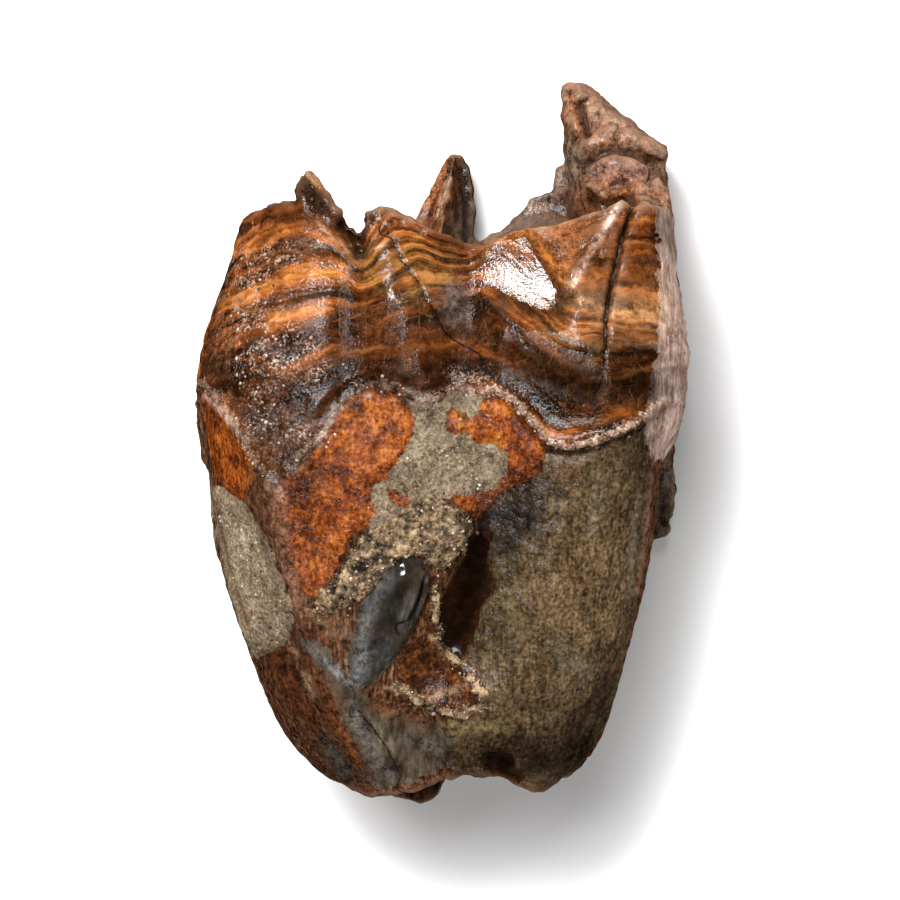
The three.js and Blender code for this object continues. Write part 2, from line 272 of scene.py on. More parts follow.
# %% Hold the sharp turns and relax the rest
INWARD, OUTWARD = 0.5, -0.53
FIRST_ROUNDS = 4  # enough to melt the steps of the voxels
FACET_ROUNDS = 110  # enough to melt the facets of the solid
SHARP_LOW, SHARP_HIGH = 13, 24  # turn between two neighbours, in degrees
HOLD_GAIN, HOLD_MOST = 1.2, 0.97  # how firmly the sharp turns are held


def relax(mesh, held, rounds):
    points = points_of(mesh)
    free = (1 - held)[:, None]
    for _ in range(rounds):
        for step in (INWARD, OUTWARD):
            points = points + step * free * (net.mean(points) - points)
    move_points(mesh, points)


relax(tooth.data, np.zeros(net.count), FIRST_ROUNDS)
facing = normals_of(tooth.data)
turn = np.degrees(np.arccos(np.clip((facing[net.first] * facing[net.second]).sum(1), -1, 1)))
sharp = np.zeros(net.count)
np.maximum.at(sharp, net.first, turn)
np.maximum.at(sharp, net.second, turn)
held = net.spread(rise(sharp, SHARP_LOW, SHARP_HIGH), 2)
relax(tooth.data, np.clip(held * HOLD_GAIN, 0, HOLD_MOST), FACET_ROUNDS)
print("held points:", int((held > 0.5).sum()), "of", net.count)

# %% [markdown]
# ## Outlines of the minerals
# Each mineral has grown over a patch of the upper face. A patch is a short list of corners in
# millimetres, seen from above. From it comes one number for every point of the mesh: how deep the
# point lies inside the patch. Such a number is smooth, so a material can fray its edge finely.

# %% Patches on the upper face
ENAMEL_EDGE = [
    (-26.7, 6.4), (-25.1, 4.8), (-23.4, 2.4), (-21.8, -0.3), (-20.3, -2.9), (-18.2, -4.6),
    (-16.4, -3.5), (-14.4, -1.8), (-12.7, 0.6), (-11.2, 3.5), (-9.4, 5.4), (-7.7, 6.2), (-5.9, 6),
    (-4.4, 5.4), (-2.6, 4.3), (-1.1, 4.1), (0.4, 4.8), (1.5, 5.9), (3, 5.4), (4.5, 5.3),
    (6.3, 5.2), (7.9, 4.1), (9.3, 2.6), (10.7, 0.6), (12, -0.5), (13.5, -0.8), (15.6, -0.5),
    (17.7, 0.2), (19.6, 1.1), (21.3, 1.9), (22.6, 3), (24, 4.3),
]
RUST_LEFT = [
    (-26.5, 5.9), (-25.1, 4.7), (-23.4, 2.3), (-21.8, -0.5), (-20.7, -2.2), (-20.5, -4.2),
    (-21.4, -6.1), (-22.5, -6.3), (-23.8, -5.3), (-25, -3.9), (-25.8, -1.1), (-26.3, 2.4),
]
RUST_MAIN = [
    (-17.3, -3.1), (-14.6, -1.1), (-12.7, 0.9), (-11.4, 3.7), (-9.3, 5.5), (-7.7, 6.1),
    (-6.4, 5.5), (-4.8, 5), (-4, 3.7), (-2.9, 2.8), (-3.2, 0.9), (-4.8, -1.9), (-6.1, -3.9),
    (-8.1, -4.6), (-7.6, -5.5), (-7.5, -8.5), (-8.4, -9.3), (-10.2, -10.4), (-10.8, -12.7),
    (-11.8, -14), (-12, -15.7), (-13.6, -17.3), (-15.3, -16.5), (-16.5, -13.1), (-17.7, -9.6),
    (-18.1, -6.9),
]
RUST_SPOT = [
    (-5.9, -5), (-4.8, -5.5), (-4.2, -5.5), (-3.3, -6), (-3.5, -7.1), (-4.4, -7.3), (-5.1, -6.6),
    (-5.9, -6.1),
]
RUST_DROP = [
    (0.6, 3.4), (1.5, 3.6), (2.5, 2.8), (2.4, 1.1), (1.4, 0.6), (0.4, 1.4),
]
RUST_RIGHT = [
    (2.7, 1.9), (3.8, 2.9), (4, 4.3), (5.5, 5.1), (7.1, 4.6), (8.9, 2.8), (10.5, 0.6),
    (11.3, -0.5), (10.8, -1.5), (10.2, -3.9), (8.5, -4.7), (7.2, -5.1), (5.9, -6.1), (5, -7.3),
    (3.6, -8.6), (2.8, -7.8), (1.2, -7.3), (0.8, -6.2), (1.6, -5.7), (3, -5.9), (4.1, -5.3),
    (5.5, -5.4), (6.5, -4.2), (7.2, -3), (7.1, -1.5), (6.5, -0.7), (5.5, -0.1), (3.9, -0.3),
    (2.9, 0.9),
]
CEMENT_MIDDLE = [
    (-4.4, 5.2), (-2.6, 4.3), (-1.1, 4.1), (0.4, 4.8), (1.5, 5.7), (4.1, 5.2), (6.8, 3.5),
    (7.6, 0.2), (7.8, -3.1), (6.3, -5.3), (4.1, -6.3), (2.1, -6.7), (0.6, -6.3), (-1.6, -6.3),
    (-3.5, -7.2), (-6.3, -9.3), (-8.1, -9.8), (-9, -8.7), (-7.9, -5), (-6.4, -3.9), (-4.8, -1.9),
    (-3.3, 0.9), (-3.1, 2.8),
]
CEMENT_LEFT = [
    (-25.6, -4.8), (-24, -5), (-22.1, -6.6), (-20.1, -9.1), (-18.6, -12), (-17.5, -15.1),
    (-16.4, -17.9), (-16.4, -20.4), (-17.1, -22.2), (-19.1, -23.4), (-20.8, -24.1), (-22.3, -20.8),
    (-23.6, -16.7), (-24.7, -11.8), (-25.3, -8),
]
CRUST = [
    (-8.3, -9.8), (-5.9, -8.5), (-3.5, -7.1), (-1.5, -6.2), (0.8, -6.3), (2.6, -7.7), (3.9, -9.6),
    (3, -11.3), (2, -12.2), (0.5, -14), (-0.3, -14.2), (-1.8, -12.7), (-3.2, -12.5), (-5.3, -13.7),
    (-7.5, -16.3), (-9.9, -17.7), (-11.5, -18.6), (-13.4, -19.3), (-14.7, -17.7), (-13.1, -16.2),
    (-11.4, -14.4), (-10.1, -12),
]
LENS = [
    (-4.8, -12.9), (-3.5, -12.5), (-2.1, -13.1), (-1.5, -14.6), (-1.7, -16.4), (-2.4, -18.4),
    (-3.4, -20.4), (-4.4, -22.2), (-5.5, -23.9), (-6.7, -25.6), (-7.9, -26.7), (-9, -26.9),
    (-10, -26), (-10.4, -24.5), (-10.2, -22.8), (-9.7, -21.2), (-9.3, -19.5), (-8.7, -17.7),
    (-7.6, -16), (-6.3, -14.2),
]
CHOCOLATE = [
    (4.1, -9.2), (5.1, -10.3), (4.8, -13.1), (6.2, -16), (4.3, -17.8), (3.7, -20.5), (2.8, -22.6),
    (2.4, -24.1), (1.1, -23.3), (-0.3, -21.5), (-0.5, -18.7), (0.5, -16.2), (1.9, -13.7),
    (3.2, -11.3),
]
BRIDGE = [
    (-4.4, -22.8), (-3.1, -21.9), (-1.6, -21.7), (-0.3, -21.9), (0.8, -22.8), (1.9, -24.3),
    (3.5, -26.3), (4.3, -27.6), (3.9, -28.9), (2.2, -29.7), (-0.3, -29.3), (-2.4, -28.2),
    (-4.2, -26.9), (-5.1, -25.2),
]
GREY_TAIL = [
    (-16, -21.2), (-14.3, -21.2), (-12.3, -23), (-10.6, -25.2), (-9.2, -27.1), (-7, -28.7),
    (-4.4, -30), (-1.3, -30.7), (0.6, -31.7), (1.7, -33.7), (0.6, -35.7), (-1.6, -37),
    (-4.6, -37.9), (-7.5, -38.5), (-8.4, -35.9), (-9.4, -32.8), (-10.8, -30), (-12.1, -27.4),
    (-13.6, -24.7), (-15.1, -23),
]
GREY_LOW = [
    (-13.2, -32.8), (-12.2, -32.6), (-10.8, -35), (-9.4, -37.9), (-10.5, -37.9), (-12.1, -35.7),
]
BARK = [
    (4.8, -6.9), (7.2, -5.3), (10.4, -4.2), (11.5, -1.5), (14.5, -1.1), (18.3, -0.3), (21.6, 1.5),
    (23.2, 1.3), (22.9, -8.5), (21.6, -17.3), (18.9, -29.4), (15.1, -36.1), (11.3, -38.6),
    (6.3, -37), (3, -36.7), (-0.3, -35.5), (1.4, -33.3), (-0.3, -30.7), (3, -29.7), (4.8, -28.3),
    (4.6, -26.1), (2.6, -23.9), (3, -21.7), (4.1, -18.4), (6.3, -16.2), (5, -12.9), (5.4, -10.2),
]
NOTCH_DARK = [
    (4.1, -35.2), (4.6, -34.1), (7.7, -34.1), (8.1, -35.9), (9.4, -37.2), (8.1, -37.9), (5.9, -37),
]
FACET_E = [
    (3.5, 20.1), (5.2, 21.6), (7.6, 23), (9.2, 23.4), (10.7, 21), (12, 19), (13.5, 16.8),
    (13.7, 15.5), (12.6, 13.5), (10.7, 13.5), (8.5, 14.4), (6.3, 15.5), (4.6, 17), (3.5, 18.6),
]
SIDE_STRIP = [
    (23.2, 27), (23.6, 21), (23.7, 15), (23.4, 10), (22.5, 4.5), (22, 1), (23, -2), (30, -2),
    (30, 27),
]
HORN_FACET = [
    (15.6, 30.6), (17.4, 31.6), (20.4, 32), (22.6, 31.3), (23.2, 29.4), (21.2, 28.7),
    (18.4, 28.6), (16.4, 29.3),
]
NOTCH = [
    (-10.9, 23.6), (-9.8, 22.2), (-9.2, 20.7),
]
MAIN_CRACK = [
    (21.7, 27.1), (21, 26.1), (20.3, 24.1), (19.6, 22.1), (19.1, 20.1), (18.7, 17.9), (18.2, 15.9),
    (17.9, 13.3), (17.8, 10.6), (17.5, 7.8), (17.4, 4.6),
]
CRACK_MID = [
    (-5.9, 23.2), (-5.3, 21.8), (-4.6, 20.3), (-3.8, 19), (-2.4, 17.2), (-1.6, 15.5), (-0.5, 13.5),
    (0.4, 11.8), (1.7, 10.9), (3.7, 9.8), (5.2, 8.9),
]
SEAM_LEFT = [
    (-11.1, 21.9), (-11.1, 18.2), (-11.3, 15.5), (-11.2, 12.2), (-10.8, 9.8), (-10.5, 7),
]
CREST = [
    (19.7, 26.2), (17.3, 23), (15.5, 20.3), (13.6, 17.3),
]
HOLLOW_RIM = [
    (-0.9, -16.2), (-0.5, -20), (0.2, -22.2), (1.7, -24.3), (3.2, -26.3), (4.1, -27.4),
]
HOLLOW_LEDGE = [
    (-4.8, -26.7), (-2.6, -28.4), (-0.5, -29.4), (2.3, -29.8), (4, -28.8), (4.5, -27.6),
]
TAIL_CRACK = [
    (-9.2, -29.6), (-7.7, -31.3), (-6.3, -33.3), (-4.1, -37.7),
]
END_RIM = [
    (-12.3, -35.7), (-10.1, -37.7), (-7.7, -38.7), (-5.1, -38.1), (-2.6, -37.4), (-0.3, -36.8),
    (3, -35.2),
]
LENS_CLEFT = [
    (-2, -14.9), (-2.5, -16.6), (-3.2, -18.4), (-4.1, -20.2),
]
BROW = [
    (15.8, 32.3), (17.3, 33.6), (19.2, 34.2), (21.4, 33.9), (24.4, 32.3),
]
BROW_GROOVE = [
    (15.9, 31), (17.6, 32.3), (19.4, 32.8), (21.4, 32.5), (23.8, 31.1),
]
HORN_SPINE = [
    (14.6, 39.4), (16.4, 37.4), (18.2, 35.6), (20.4, 34.7),
]
HORN_GROOVE = [
    (15.6, 37.8), (16, 36), (16.3, 34.2),
]
HORN_KNOB = [
    (14.5, 36.9), (15, 35.2),
]
HORN_CRACK = [
    (23.6, 30.6), (23.4, 29.7), (23.1, 28.6),
]
BROKEN_RIM = [
    (17, 28.6), (18.3, 27.6), (19.8, 27.6), (21.5, 28.5), (24.2, 28),
]
SPUR_SEAM = [
    (-14.9, 28.9), (-13.9, 27.2), (-12.7, 25.4),
]
GUIDE_RIM = [
    (-27, 22.5), (-21.8, 25.2), (-18.3, 26.5), (-15.1, 27.8), (-11.8, 25.8), (-10.3, 22.3),
    (-9, 19.7), (-7.7, 21.4), (-6.3, 24.1), (-4.6, 24.7), (-1.3, 22.8), (3.6, 21.4), (6.3, 25),
    (9.2, 25.8), (12.9, 25), (17.3, 25.6), (20, 26.9), (22.8, 27.4), (25.2, 26.9),
]
GUIDE_BRIGHT = [
    (-26.9, 13.7), (-24.3, 15.5), (-21.6, 16.6), (-17.7, 18), (-13.4, 18.8), (-10.6, 18.8),
    (-9, 17.2), (-6.8, 17.9), (-4.6, 19.7), (-2.7, 21), (-0.3, 19.7), (3, 19.7), (4.7, 21.4),
    (6.9, 21.2), (9.6, 19), (12, 15.9), (13.7, 14.2), (17.2, 14.2), (20.5, 13.5), (23.2, 13.1),
    (25.4, 12.6),
]
GUIDE_MID = [
    (-26.9, 7.8), (-24.3, 9.8), (-21, 11.3), (-16.6, 12.6), (-12.3, 13.7), (-10.1, 13.1),
    (-7.7, 13.1), (-4.6, 14.2), (-1.3, 15.3), (1.7, 15.5), (4.1, 16.6), (6.3, 15.5), (9.6, 12.2),
    (12.8, 9.8), (17.2, 8.7), (21.6, 8.7), (25.4, 9.4),
]
GUIDE_LOW = [
    (-26.9, 2.4), (-22.1, 0.2), (-18.2, -3.1), (-14.4, 0.2), (-11.2, 4.6), (-7.3, 7), (-2.4, 5.4),
    (1.4, 6.7), (5.2, 6.1), (9.6, 2.6), (12.8, 0.2), (18.3, 1.1), (22.6, 3.7), (25.4, 5),
]
print("patches and lines measured")

# %% [markdown]
# ## Soft strokes of texture
# A stroke is a width, an amount and a line, all in millimetres. Grit is where the enamel is rough
# as sandpaper, crackle is where it is crazed, and gloss is where it is most and least polished.

# %% Strokes of grit, crackle and gloss
GRIT = [
    # left lobe, its foot, the rims, crusts
    (3.0, 0.55, [(-20.9, 15.5), (-19.9, 6.8)]),
    (1.4, 0.5, [(-21.5, 19.5), (-17.5, 20.5)]),
    (1.3, 0.6, [(-17.8, 12.2), (-14.5, 10.4)]),
    (1.4, 0.6, [(-17.3, 8.2), (-12.5, 7.4)]),
    (2.4, 0.9, [(-21, 2.4), (-15.6, 0.2)]),
    (1.53, 0.5, [(-15.6, -3.1), (-10.1, 2.4)]),
    (0.9, 0.8, [(1.2, 7.6), (5.2, 5.6)]),
    (1.31, 0.5, [(-2.4, 5.1), (-0.3, 4.6)]),
]
CRACKLE = [
    (2.6, 0.8, [(14, 4.5), (22, 5.5)]),
    (2.2, 0.7, [(4, 9.5), (10, 7)]),
    (3.06, 0.9, [(-9, 15.5), (-3.5, 12.2)]),
    (2.19, 0.6, [(-0.3, 15.5), (4.1, 13.3)]),
    (3.28, 0.9, [(12.9, 10.1), (20.5, 6.8)]),
    (1.75, 0.6, [(-5.7, 9), (-2.4, 7.6)]),
]
GLOSS = [
    (1.6, 1, [(4.2, 19.2), (7.6, 17.6), (12.4, 15.8)]),
    (0.7, 1, [(19.4, 25.8), (17.3, 23), (13.8, 17.4)]),
    (1.3, 0.5, [(8.5, 20.6), (12.6, 17.3)]),
    (1.53, -0.75, [(12.9, 22.1), (16.2, 23.2)]),
    (0.5, 0.9, [(4.6, 14.8), (6.9, 11.4)]),
    (0.4, 0.8, [(7, 13.2), (9.4, 10.2)]),
    (1.0, 0.7, [(1.2, 7.6), (5.2, 5.6)]),
    (0.7, 0.8, [(-7.4, 20.4), (-5, 19.6)]),
    (0.6, 0.7, [(-7.2, 16.9), (-5, 15.9)]),
    (1.2, 0.3, [(-16.5, 20.5), (-12.5, 19)]),
    (2.4, -1, [(7, 10.2), (11, 8.3), (16, 5.8)]),
    (0.9, -0.8, [(2.4, 19.5), (2.2, 13), (2, 7)]),
    (0.9, -0.5, [(-10.5, 17), (-10.8, 9)]),
    (1.6, -0.6, [(-8.5, 8.5), (-3.5, 7)]),
    (1.1, -0.7, [(-5.4, 14.2), (-5, 9.5)]),
    (1.6, -0.5, [(-20.5, 11), (-16, 13)]),
]
PLAIN = [  # where the bands can't be seen
    (2.2, 1, [(10.8, 23), (17.5, 24.8)]),
    (1.9, 1, [(13, 18.5), (15.2, 22)]),
    (1.6, 0.9, [(5, 20.5), (9, 19), (12, 16)]),
    (1.5, 0.8, [(-15, 2.5), (-10.5, 7.2)]),
    (1.6, 0.9, [(-15, 28), (-12, 24.5)]),
    (2.4, 0.8, [(-6, 11.5), (-1.5, 8)]),
    (2.2, 0.85, [(-20.5, 2.5), (-14, 1.5)]),
    (2.0, 0.85, [(-19, -1), (-16.5, -2.5)]),
    (2.3, 0.6, [(13, 7.5), (22.5, 5)]),
    (1.4, 0.7, [(1.3, 16.5), (1.5, 13.5)]),
    (1.3, 0.6, [(-24.5, 11), (-25.5, 7)]),
    (1.8, 0.6, [(4, 11.5), (9, 8.5)]),
]
SHADE = [  # how much darker or paler the colour is laid: mostly stain, and in places painted shade and painted highlight
    (3.0, 0.42, [(-24, 6.5), (-15, 4.5)]),
    (2.6, 0.55, [(-20, 1.5), (-17, -2)]),
    (3.0, 0.62, [(-9.5, 9), (-0.5, 8)]),
    (2.2, 0.30, [(-8.5, 15.5), (-2.5, 13)]),
    (2.4, 0.45, [(3, 12), (10, 9.5)]),
    (2.0, 0.50, [(15.5, 23.5), (18, 20), (23.5, 22.5)]),
    (3.0, 0.62, [(11, 5), (16, 6), (24, 7)]),
    (1.5, 0.25, [(15.5, 9.8), (24.5, 10)]),
    (1.2, 0.60, [(-15.8, 28.8), (-13.6, 26)]),
    # painted light: the side strip is made paler, with a painted highlight along its edge by the
    # enamel
    (1.2, -0.70, [(24.3, 19), (24.7, 10), (24.1, 3)]),
    (1.6, -0.38, [(26, 19), (26.4, 10), (25.6, 3)]),
    (0.4, 0.45, [(25.1, 17), (25.2, 10), (24.8, 3)]),
    # painted highlight down the crest
    (0.4, -0.60, [(19.2, 25.6), (16.8, 21.6), (14.2, 17)]),
    (1.5, -0.30, [(24.8, 1), (24.6, -2)]),
    (1.5, -0.55, [(11.5, 23), (16.5, 24.2)]),
    (1.2, -0.30, [(13.6, 19.5), (15, 22)]),
    # painted shade in the notch beside the spur
    (1.0, 0.55, [(-10.6, 24), (-9.2, 21)]),
    (1.6, 0.35, [(-20, 25.6), (-12, 26.5)]),
    (3.4, 0.14, [(-23, 15.5), (-14, 15.5)]),
    (2.4, 0.26, [(-8, 20), (-2, 20)]),
    (2.6, 0.25, [(-15, -5), (-14.5, -12)]),
    (2.8, 0.60, [(-18.5, -24), (-15, -30.5), (-11, -36)]),
    (1.6, 0.72, [(4, -11), (1.3, -21)]),
    (1.7, 0.70, [(-4, -15), (-7.5, -22)]),
    (3.0, -0.55, [(18, -10), (17, -21)]),
    (2.6, -0.22, [(6.5, 3.5), (9, -2)]),
    (2.4, 0.35, [(9.5, -3.5), (8.5, -9)]),
    (2.4, 0.15, [(8, -13), (7, -22)]),
    (1.4, 0.5, [(-14.8, 3), (-10.5, 7.2)]),
    (2.8, 0.68, [(4.8, -9.5), (8.8, -5.8)]),
    (2.4, 0.35, [(6.5, -11), (5, -20)]),
    # painted shade: darker towards the root's lower end, where it turns away from the light
    (3.0, 0.55, [(2, -34.5), (13.5, -34.5)]),
    (2.2, 0.35, [(15, -33), (18.5, -27)]),
]

# %% Measuring from outlines and lines
def depth_inside(xy, corners):
    """How deep each point lies inside an outline, in mm. It is negative outside."""
    ring = np.array(corners, float)
    nearest = np.full(len(xy), np.inf)
    inside = np.zeros(len(xy), bool)
    for start, end in zip(ring, np.roll(ring, -1, 0)):
        along, offset = end - start, xy - start
        part = np.clip(offset @ along / (along @ along), 0, 1)
        nearest = np.minimum(nearest, np.hypot(*(offset - part[:, None] * along).T))
        spans = (start[1] > xy[:, 1]) != (end[1] > xy[:, 1])
        if along[1]:
            inside ^= spans & (offset[:, 0] < offset[:, 1] * along[0] / along[1])
    return np.where(inside, nearest, -nearest)


def from_line(xy, line):
    """Distance from a line, positive on its left, and how far along it the nearest place is."""
    stops = np.array(line, float)
    nearest = np.full(len(xy), np.inf)
    side = np.ones(len(xy))
    reach = np.zeros(len(xy))
    for number, (start, end) in enumerate(zip(stops, stops[1:])):
        along, offset = end - start, xy - start
        part = np.clip(offset @ along / (along @ along), 0, 1)
        gap = np.hypot(*(offset - part[:, None] * along).T)
        better = gap < nearest
        left = np.where(along[0] * offset[:, 1] - along[1] * offset[:, 0] < 0, -1.0, 1.0)
        nearest = np.where(better, gap, nearest)
        side = np.where(better, left, side)
        reach = np.where(better, (number + part) / (len(stops) - 1), reach)
    return nearest * side, reach


def brush(xy, width, line):
    """1 on a line, falling softly away from it."""
    return np.exp(-((from_line(xy, line)[0] / width) ** 2))


def painted(xy, strokes, base=0.0):
    """A number over the surface, laid on stroke by stroke."""
    total = np.full(len(xy), base)
    for width, amount, line in strokes:
        total += amount * brush(xy, width, line)
    return total


LUMP_SEED, LUMP_GRID = 11, 32
OCTAVE_STEP, OCTAVE_SHIFT = 2.03, 7.7  # uneven, so that no two octaves line up
HEIGHTS = np.random.default_rng(LUMP_SEED).uniform(-1, 1, (LUMP_GRID,) * 3)


def lumps(points, size, octaves=3, offset=0.0):
    """Soft random lumps, about size mm across, between about -1 and 1."""
    place = points / size + offset
    total, weight, reach = 0.0, 1.0, 0.0
    for _ in range(octaves):
        base = np.floor(place).astype(int)
        part = place - base
        part = part * part * (3 - 2 * part)
        level = 0.0
        for corner in np.ndindex(2, 2, 2):
            at = (base + corner) % LUMP_GRID
            share = np.prod(np.where(corner, part, 1 - part), 1)
            level = level + HEIGHTS[at[:, 0], at[:, 1], at[:, 2]] * share
        total = total + weight * level
        reach += weight
        weight *= 0.5
        place = place * OCTAVE_STEP + OCTAVE_SHIFT
    return total / reach


print("tools ready")

# %% [markdown]
# ## Which part of the tooth is this?
# The same rules of finish don't hold everywhere. A point may be on the upper face, inside a hollow,
# or on a broken rim. Rays sent sideways from a point tell the hollows from the outside: from the
# wall of a hollow they all strike something, and from the outside those that leave do not.

# %% Sort the surface
SIDEWAYS = [Vector((np.cos(a), 0, np.sin(a))) for a in np.arange(6) * np.pi / 3]
ALWAYS_OPEN = 30  # above this height, a point that looks up can't be in a hollow
FACE_LOW, FACE_HIGH = 19, 27  # the upper face begins between these heights
ROOF_OF_ROOT = -33  # below this, the upper side of the root end is open
RAY_START, RAY_REACH = 0.15, 60  # mm from the surface
ENCLOSED_LOW, ENCLOSED_HIGH = 0.62, 0.85  # shares of the rays that strike something
CROWN_BREAK_FROM, ROOT_BREAK_FROM = (14, 16), (33, 35)  # mm along the tooth, up and down


def sort_surface(thing):
    """Shares, for each point, of being on the upper face, in a hollow or on a broken rim."""
    mesh = thing.data
    points, facing = points_of(mesh), normals_of(mesh)
    tree = BVHTree.FromPolygons(
        [tuple(p) for p in points], [tuple(f.vertices) for f in mesh.polygons]
    )
    away = np.array([tuple(d) for d in SIDEWAYS])
    weight = np.clip(facing @ away.T + 0.15, 0, None)
    blocked = np.zeros(len(points))
    doubtful = np.flatnonzero((points[:, 2] < ALWAYS_OPEN) | (facing[:, 2] < 0.3))
    for number in doubtful:
        start = Vector(points[number] + RAY_START * facing[number])
        for ray, direction in enumerate(SIDEWAYS):
            if weight[number, ray] > 0:
                struck = tree.ray_cast(start, direction, RAY_REACH)[0] is not None
                blocked[number] += struck * weight[number, ray]
    enclosed = blocked / weight.sum(1)
    here = Net(mesh)
    hollow = rise(here.spread(enclosed, 6), ENCLOSED_LOW, ENCLOSED_HIGH)
    upper = rise(points[:, 2], FACE_LOW, FACE_HIGH)
    open_root = rise(-points[:, 1], 3, 6) * rise(points[:, 1], ROOF_OF_ROOT - 4, ROOF_OF_ROOT)
    hollow *= 1 - upper * open_root
    crown_break = rise(facing[:, 1], 0.5, 0.75) * rise(points[:, 1], *CROWN_BREAK_FROM)
    crown_break *= 1 - hollow
    root_break = rise(-facing[:, 1], 0.75, 0.92) * rise(-points[:, 1], *ROOT_BREAK_FROM)
    broken = here.spread(np.maximum(crown_break, root_break), 2)
    face = upper * (1 - hollow)
    return {"net": here, "points": points, "facing": facing, "hollow": hollow,
            "broken": broken, "face": face}


sorted_skin = sort_surface(tooth)
for name in ("hollow", "broken", "face"):
    print(name, round(float(sorted_skin[name].mean()), 3))

# %% [markdown]
# ## Depths and growth
# One function answers, for any points, how deep they lie in every mineral. Away from the upper face
# the outlines say nothing, so slow random lumps stand in, and the two are blended by height. The
# growth number counts the way from the broken rim (0) down to the enamel's lower edge (3). Enamel
# was laid down in layers along it, so its colours will run in bands of equal growth.

# %% How deep in each mineral, and how far grown
GROWTH_STEP = 8.6  # mm of crown for each unit of growth
CROWN_TOP = 25.5  # where growth starts, away from the upper face
DEEPEST = 6  # mm, as deep as it is worth telling
NOWHERE = -3.0  # mm, for a mineral that lies on the upper face alone


def level_of(xy, line):
    """The height of a line that runs from left to right, at each point's place across."""
    across, along = np.array(line).T
    return np.interp(xy[:, 0], across, along)


def growth_of(place):
    """0 at the broken rim, 1 and 2 at the guide lines, and 3 at the enamel's lower edge."""
    xy = place["points"][:, :2]
    lines = [level_of(xy, line) for line in (GUIDE_RIM, GUIDE_BRIGHT, GUIDE_MID, GUIDE_LOW)]
    y = xy[:, 1]
    rank = (lines[0] - y) / (lines[0] - lines[1])
    for number in (1, 2):
        inner = number + (lines[number] - y) / (lines[number] - lines[number + 1])
        rank = np.where(y < lines[number], inner, rank)
    around = (CROWN_TOP - y + 1.5 * lumps(place["points"], 16, 2)) / GROWTH_STEP
    rank = place["face"] * rank + (1 - place["face"]) * around
    return place["net"].spread(rank, 8)  # rounds the corners that the guide lines have


def minerals_of(place, rounds):
    """For each mineral, how deep each point lies in it, in mm."""
    points, face = place["points"], place["face"]
    xy = points[:, :2]
    edge = level_of(xy, ENAMEL_EDGE)
    above = np.abs(from_line(xy, ENAMEL_EDGE)[0]) * np.where(xy[:, 1] > edge, 1, -1)
    slow = lumps(points, 9, 3)
    patchy = lumps(points, 6, 3, 40)
    hooks = rise(9 - points[:, 2], 0, 3) * rise(-points[:, 1], 1, 4)
    around = {
        "enamel": xy[:, 1] + 2.4 + 2 * slow,
        "rust": 5 * (slow - 0.25) - 2 * hooks,
        "cement": 6 * (patchy - 0.1) + 2 * hooks,
        "crust": 5 * (lumps(points, 5, 3, 80) - 0.45),
        "lens": np.full(len(xy), NOWHERE),
        "chocolate": 5 * (lumps(points, 7, 3, 60) - 0.4),
        "bark": 4 * (0.35 - lumps(points, 12, 2, 20)),
        "tail": np.full(len(xy), NOWHERE),
        "bridge": np.full(len(xy), NOWHERE),
        "side": np.min([xy[:, 0] - 21.5 + 3 * patchy, xy[:, 1] - 0.5 + 4 * slow,
                        0.8 + 6 * lumps(points, 8, 3, 90)], 0),
    }
    shapes = {
        "rust": [RUST_LEFT, RUST_MAIN, RUST_SPOT, RUST_DROP, RUST_RIGHT],
        "cement": [CEMENT_MIDDLE, CEMENT_LEFT], "crust": [CRUST], "lens": [LENS],
        "chocolate": [CHOCOLATE, NOTCH_DARK], "bark": [BARK], "tail": [GREY_TAIL, GREY_LOW],
        "bridge": [BRIDGE], "side": [SIDE_STRIP],
    }
    depths = {}
    for name, elsewhere in around.items():
        if name == "enamel":
            seen = above
        else:
            seen = np.max([depth_inside(xy, corners) for corners in shapes[name]], axis=0)
        depth = np.clip(face * seen + (1 - face) * elsewhere, -DEEPEST, DEEPEST)
        depths[name] = place["net"].spread(depth, rounds)
    return depths


depths = minerals_of(sorted_skin, 8)
growth = growth_of(sorted_skin)
print("enamel covers", round(float((depths["enamel"] > 0).mean()), 3))

# %% [markdown]
# ## Carve the small relief
# The CAD solid holds the lobes, folds and furrows. What is still missing is a few tenths of a
# millimetre high: the polished facets, growth ridges, the rolled edge of the enamel, the lumps of
# crust, the glassy lens, cracks and worn breaks. Each is a height along the surface's own normal.

# %% Flat polished facet on the right lobe
MIRROR = BOX_DIRECTION + Vector((0, 0, 1))  # half way between the light and the eye
FACET_SLOPES = -MIRROR.x / MIRROR.z, -MIRROR.y / MIRROR.z
FACET_SHARE = 0.9  # how much of the way to the plane


def reshape(place, points):
    """Moves the tooth's points, and notes where they are and face now."""
    move_points(tooth.data, points)
    place["points"], place["facing"] = points_of(tooth.data), normals_of(tooth.data)


def flatten_facet(place):
    points = place["points"].copy()
    inside = depth_inside(points[:, :2], FACET_E)
    weight = FACET_SHARE * rise(inside, -1.6, 1.0) * place["face"]
    middle = points[(inside > 0.8) & (place["face"] > 0.9)].mean(0)
    plane = middle[2] + (points[:, :2] - middle[:2]) @ np.array(FACET_SLOPES)
    points[:, 2] += weight * (plane - points[:, 2])
    print("facet at", middle.round(1), "slopes", np.round(FACET_SLOPES, 2))
    return points


reshape(sorted_skin, flatten_facet(sorted_skin))

# %% Relax a furrow that is too sharp
FURROW_ROUNDS, FURROW_SHARE = 40, 0.85
FURROWS = [  # half width, line
    (1.5, [(2.6, 22), (2.4, 14), (2.2, 6.5)]),
    (1.2, [(-9, 19.5), (-9.2, 12), (-9.4, 6.5)]),
]


def relax_furrows(place):
    points = place["points"]
    calm = place["net"].spread(points, FURROW_ROUNDS)
    for half_width, line in FURROWS:
        near = FURROW_SHARE * place["face"] * brush(points[:, :2], half_width, line)
        points = points + near[:, None] * (calm - points)
    return points


reshape(sorted_skin, relax_furrows(sorted_skin))

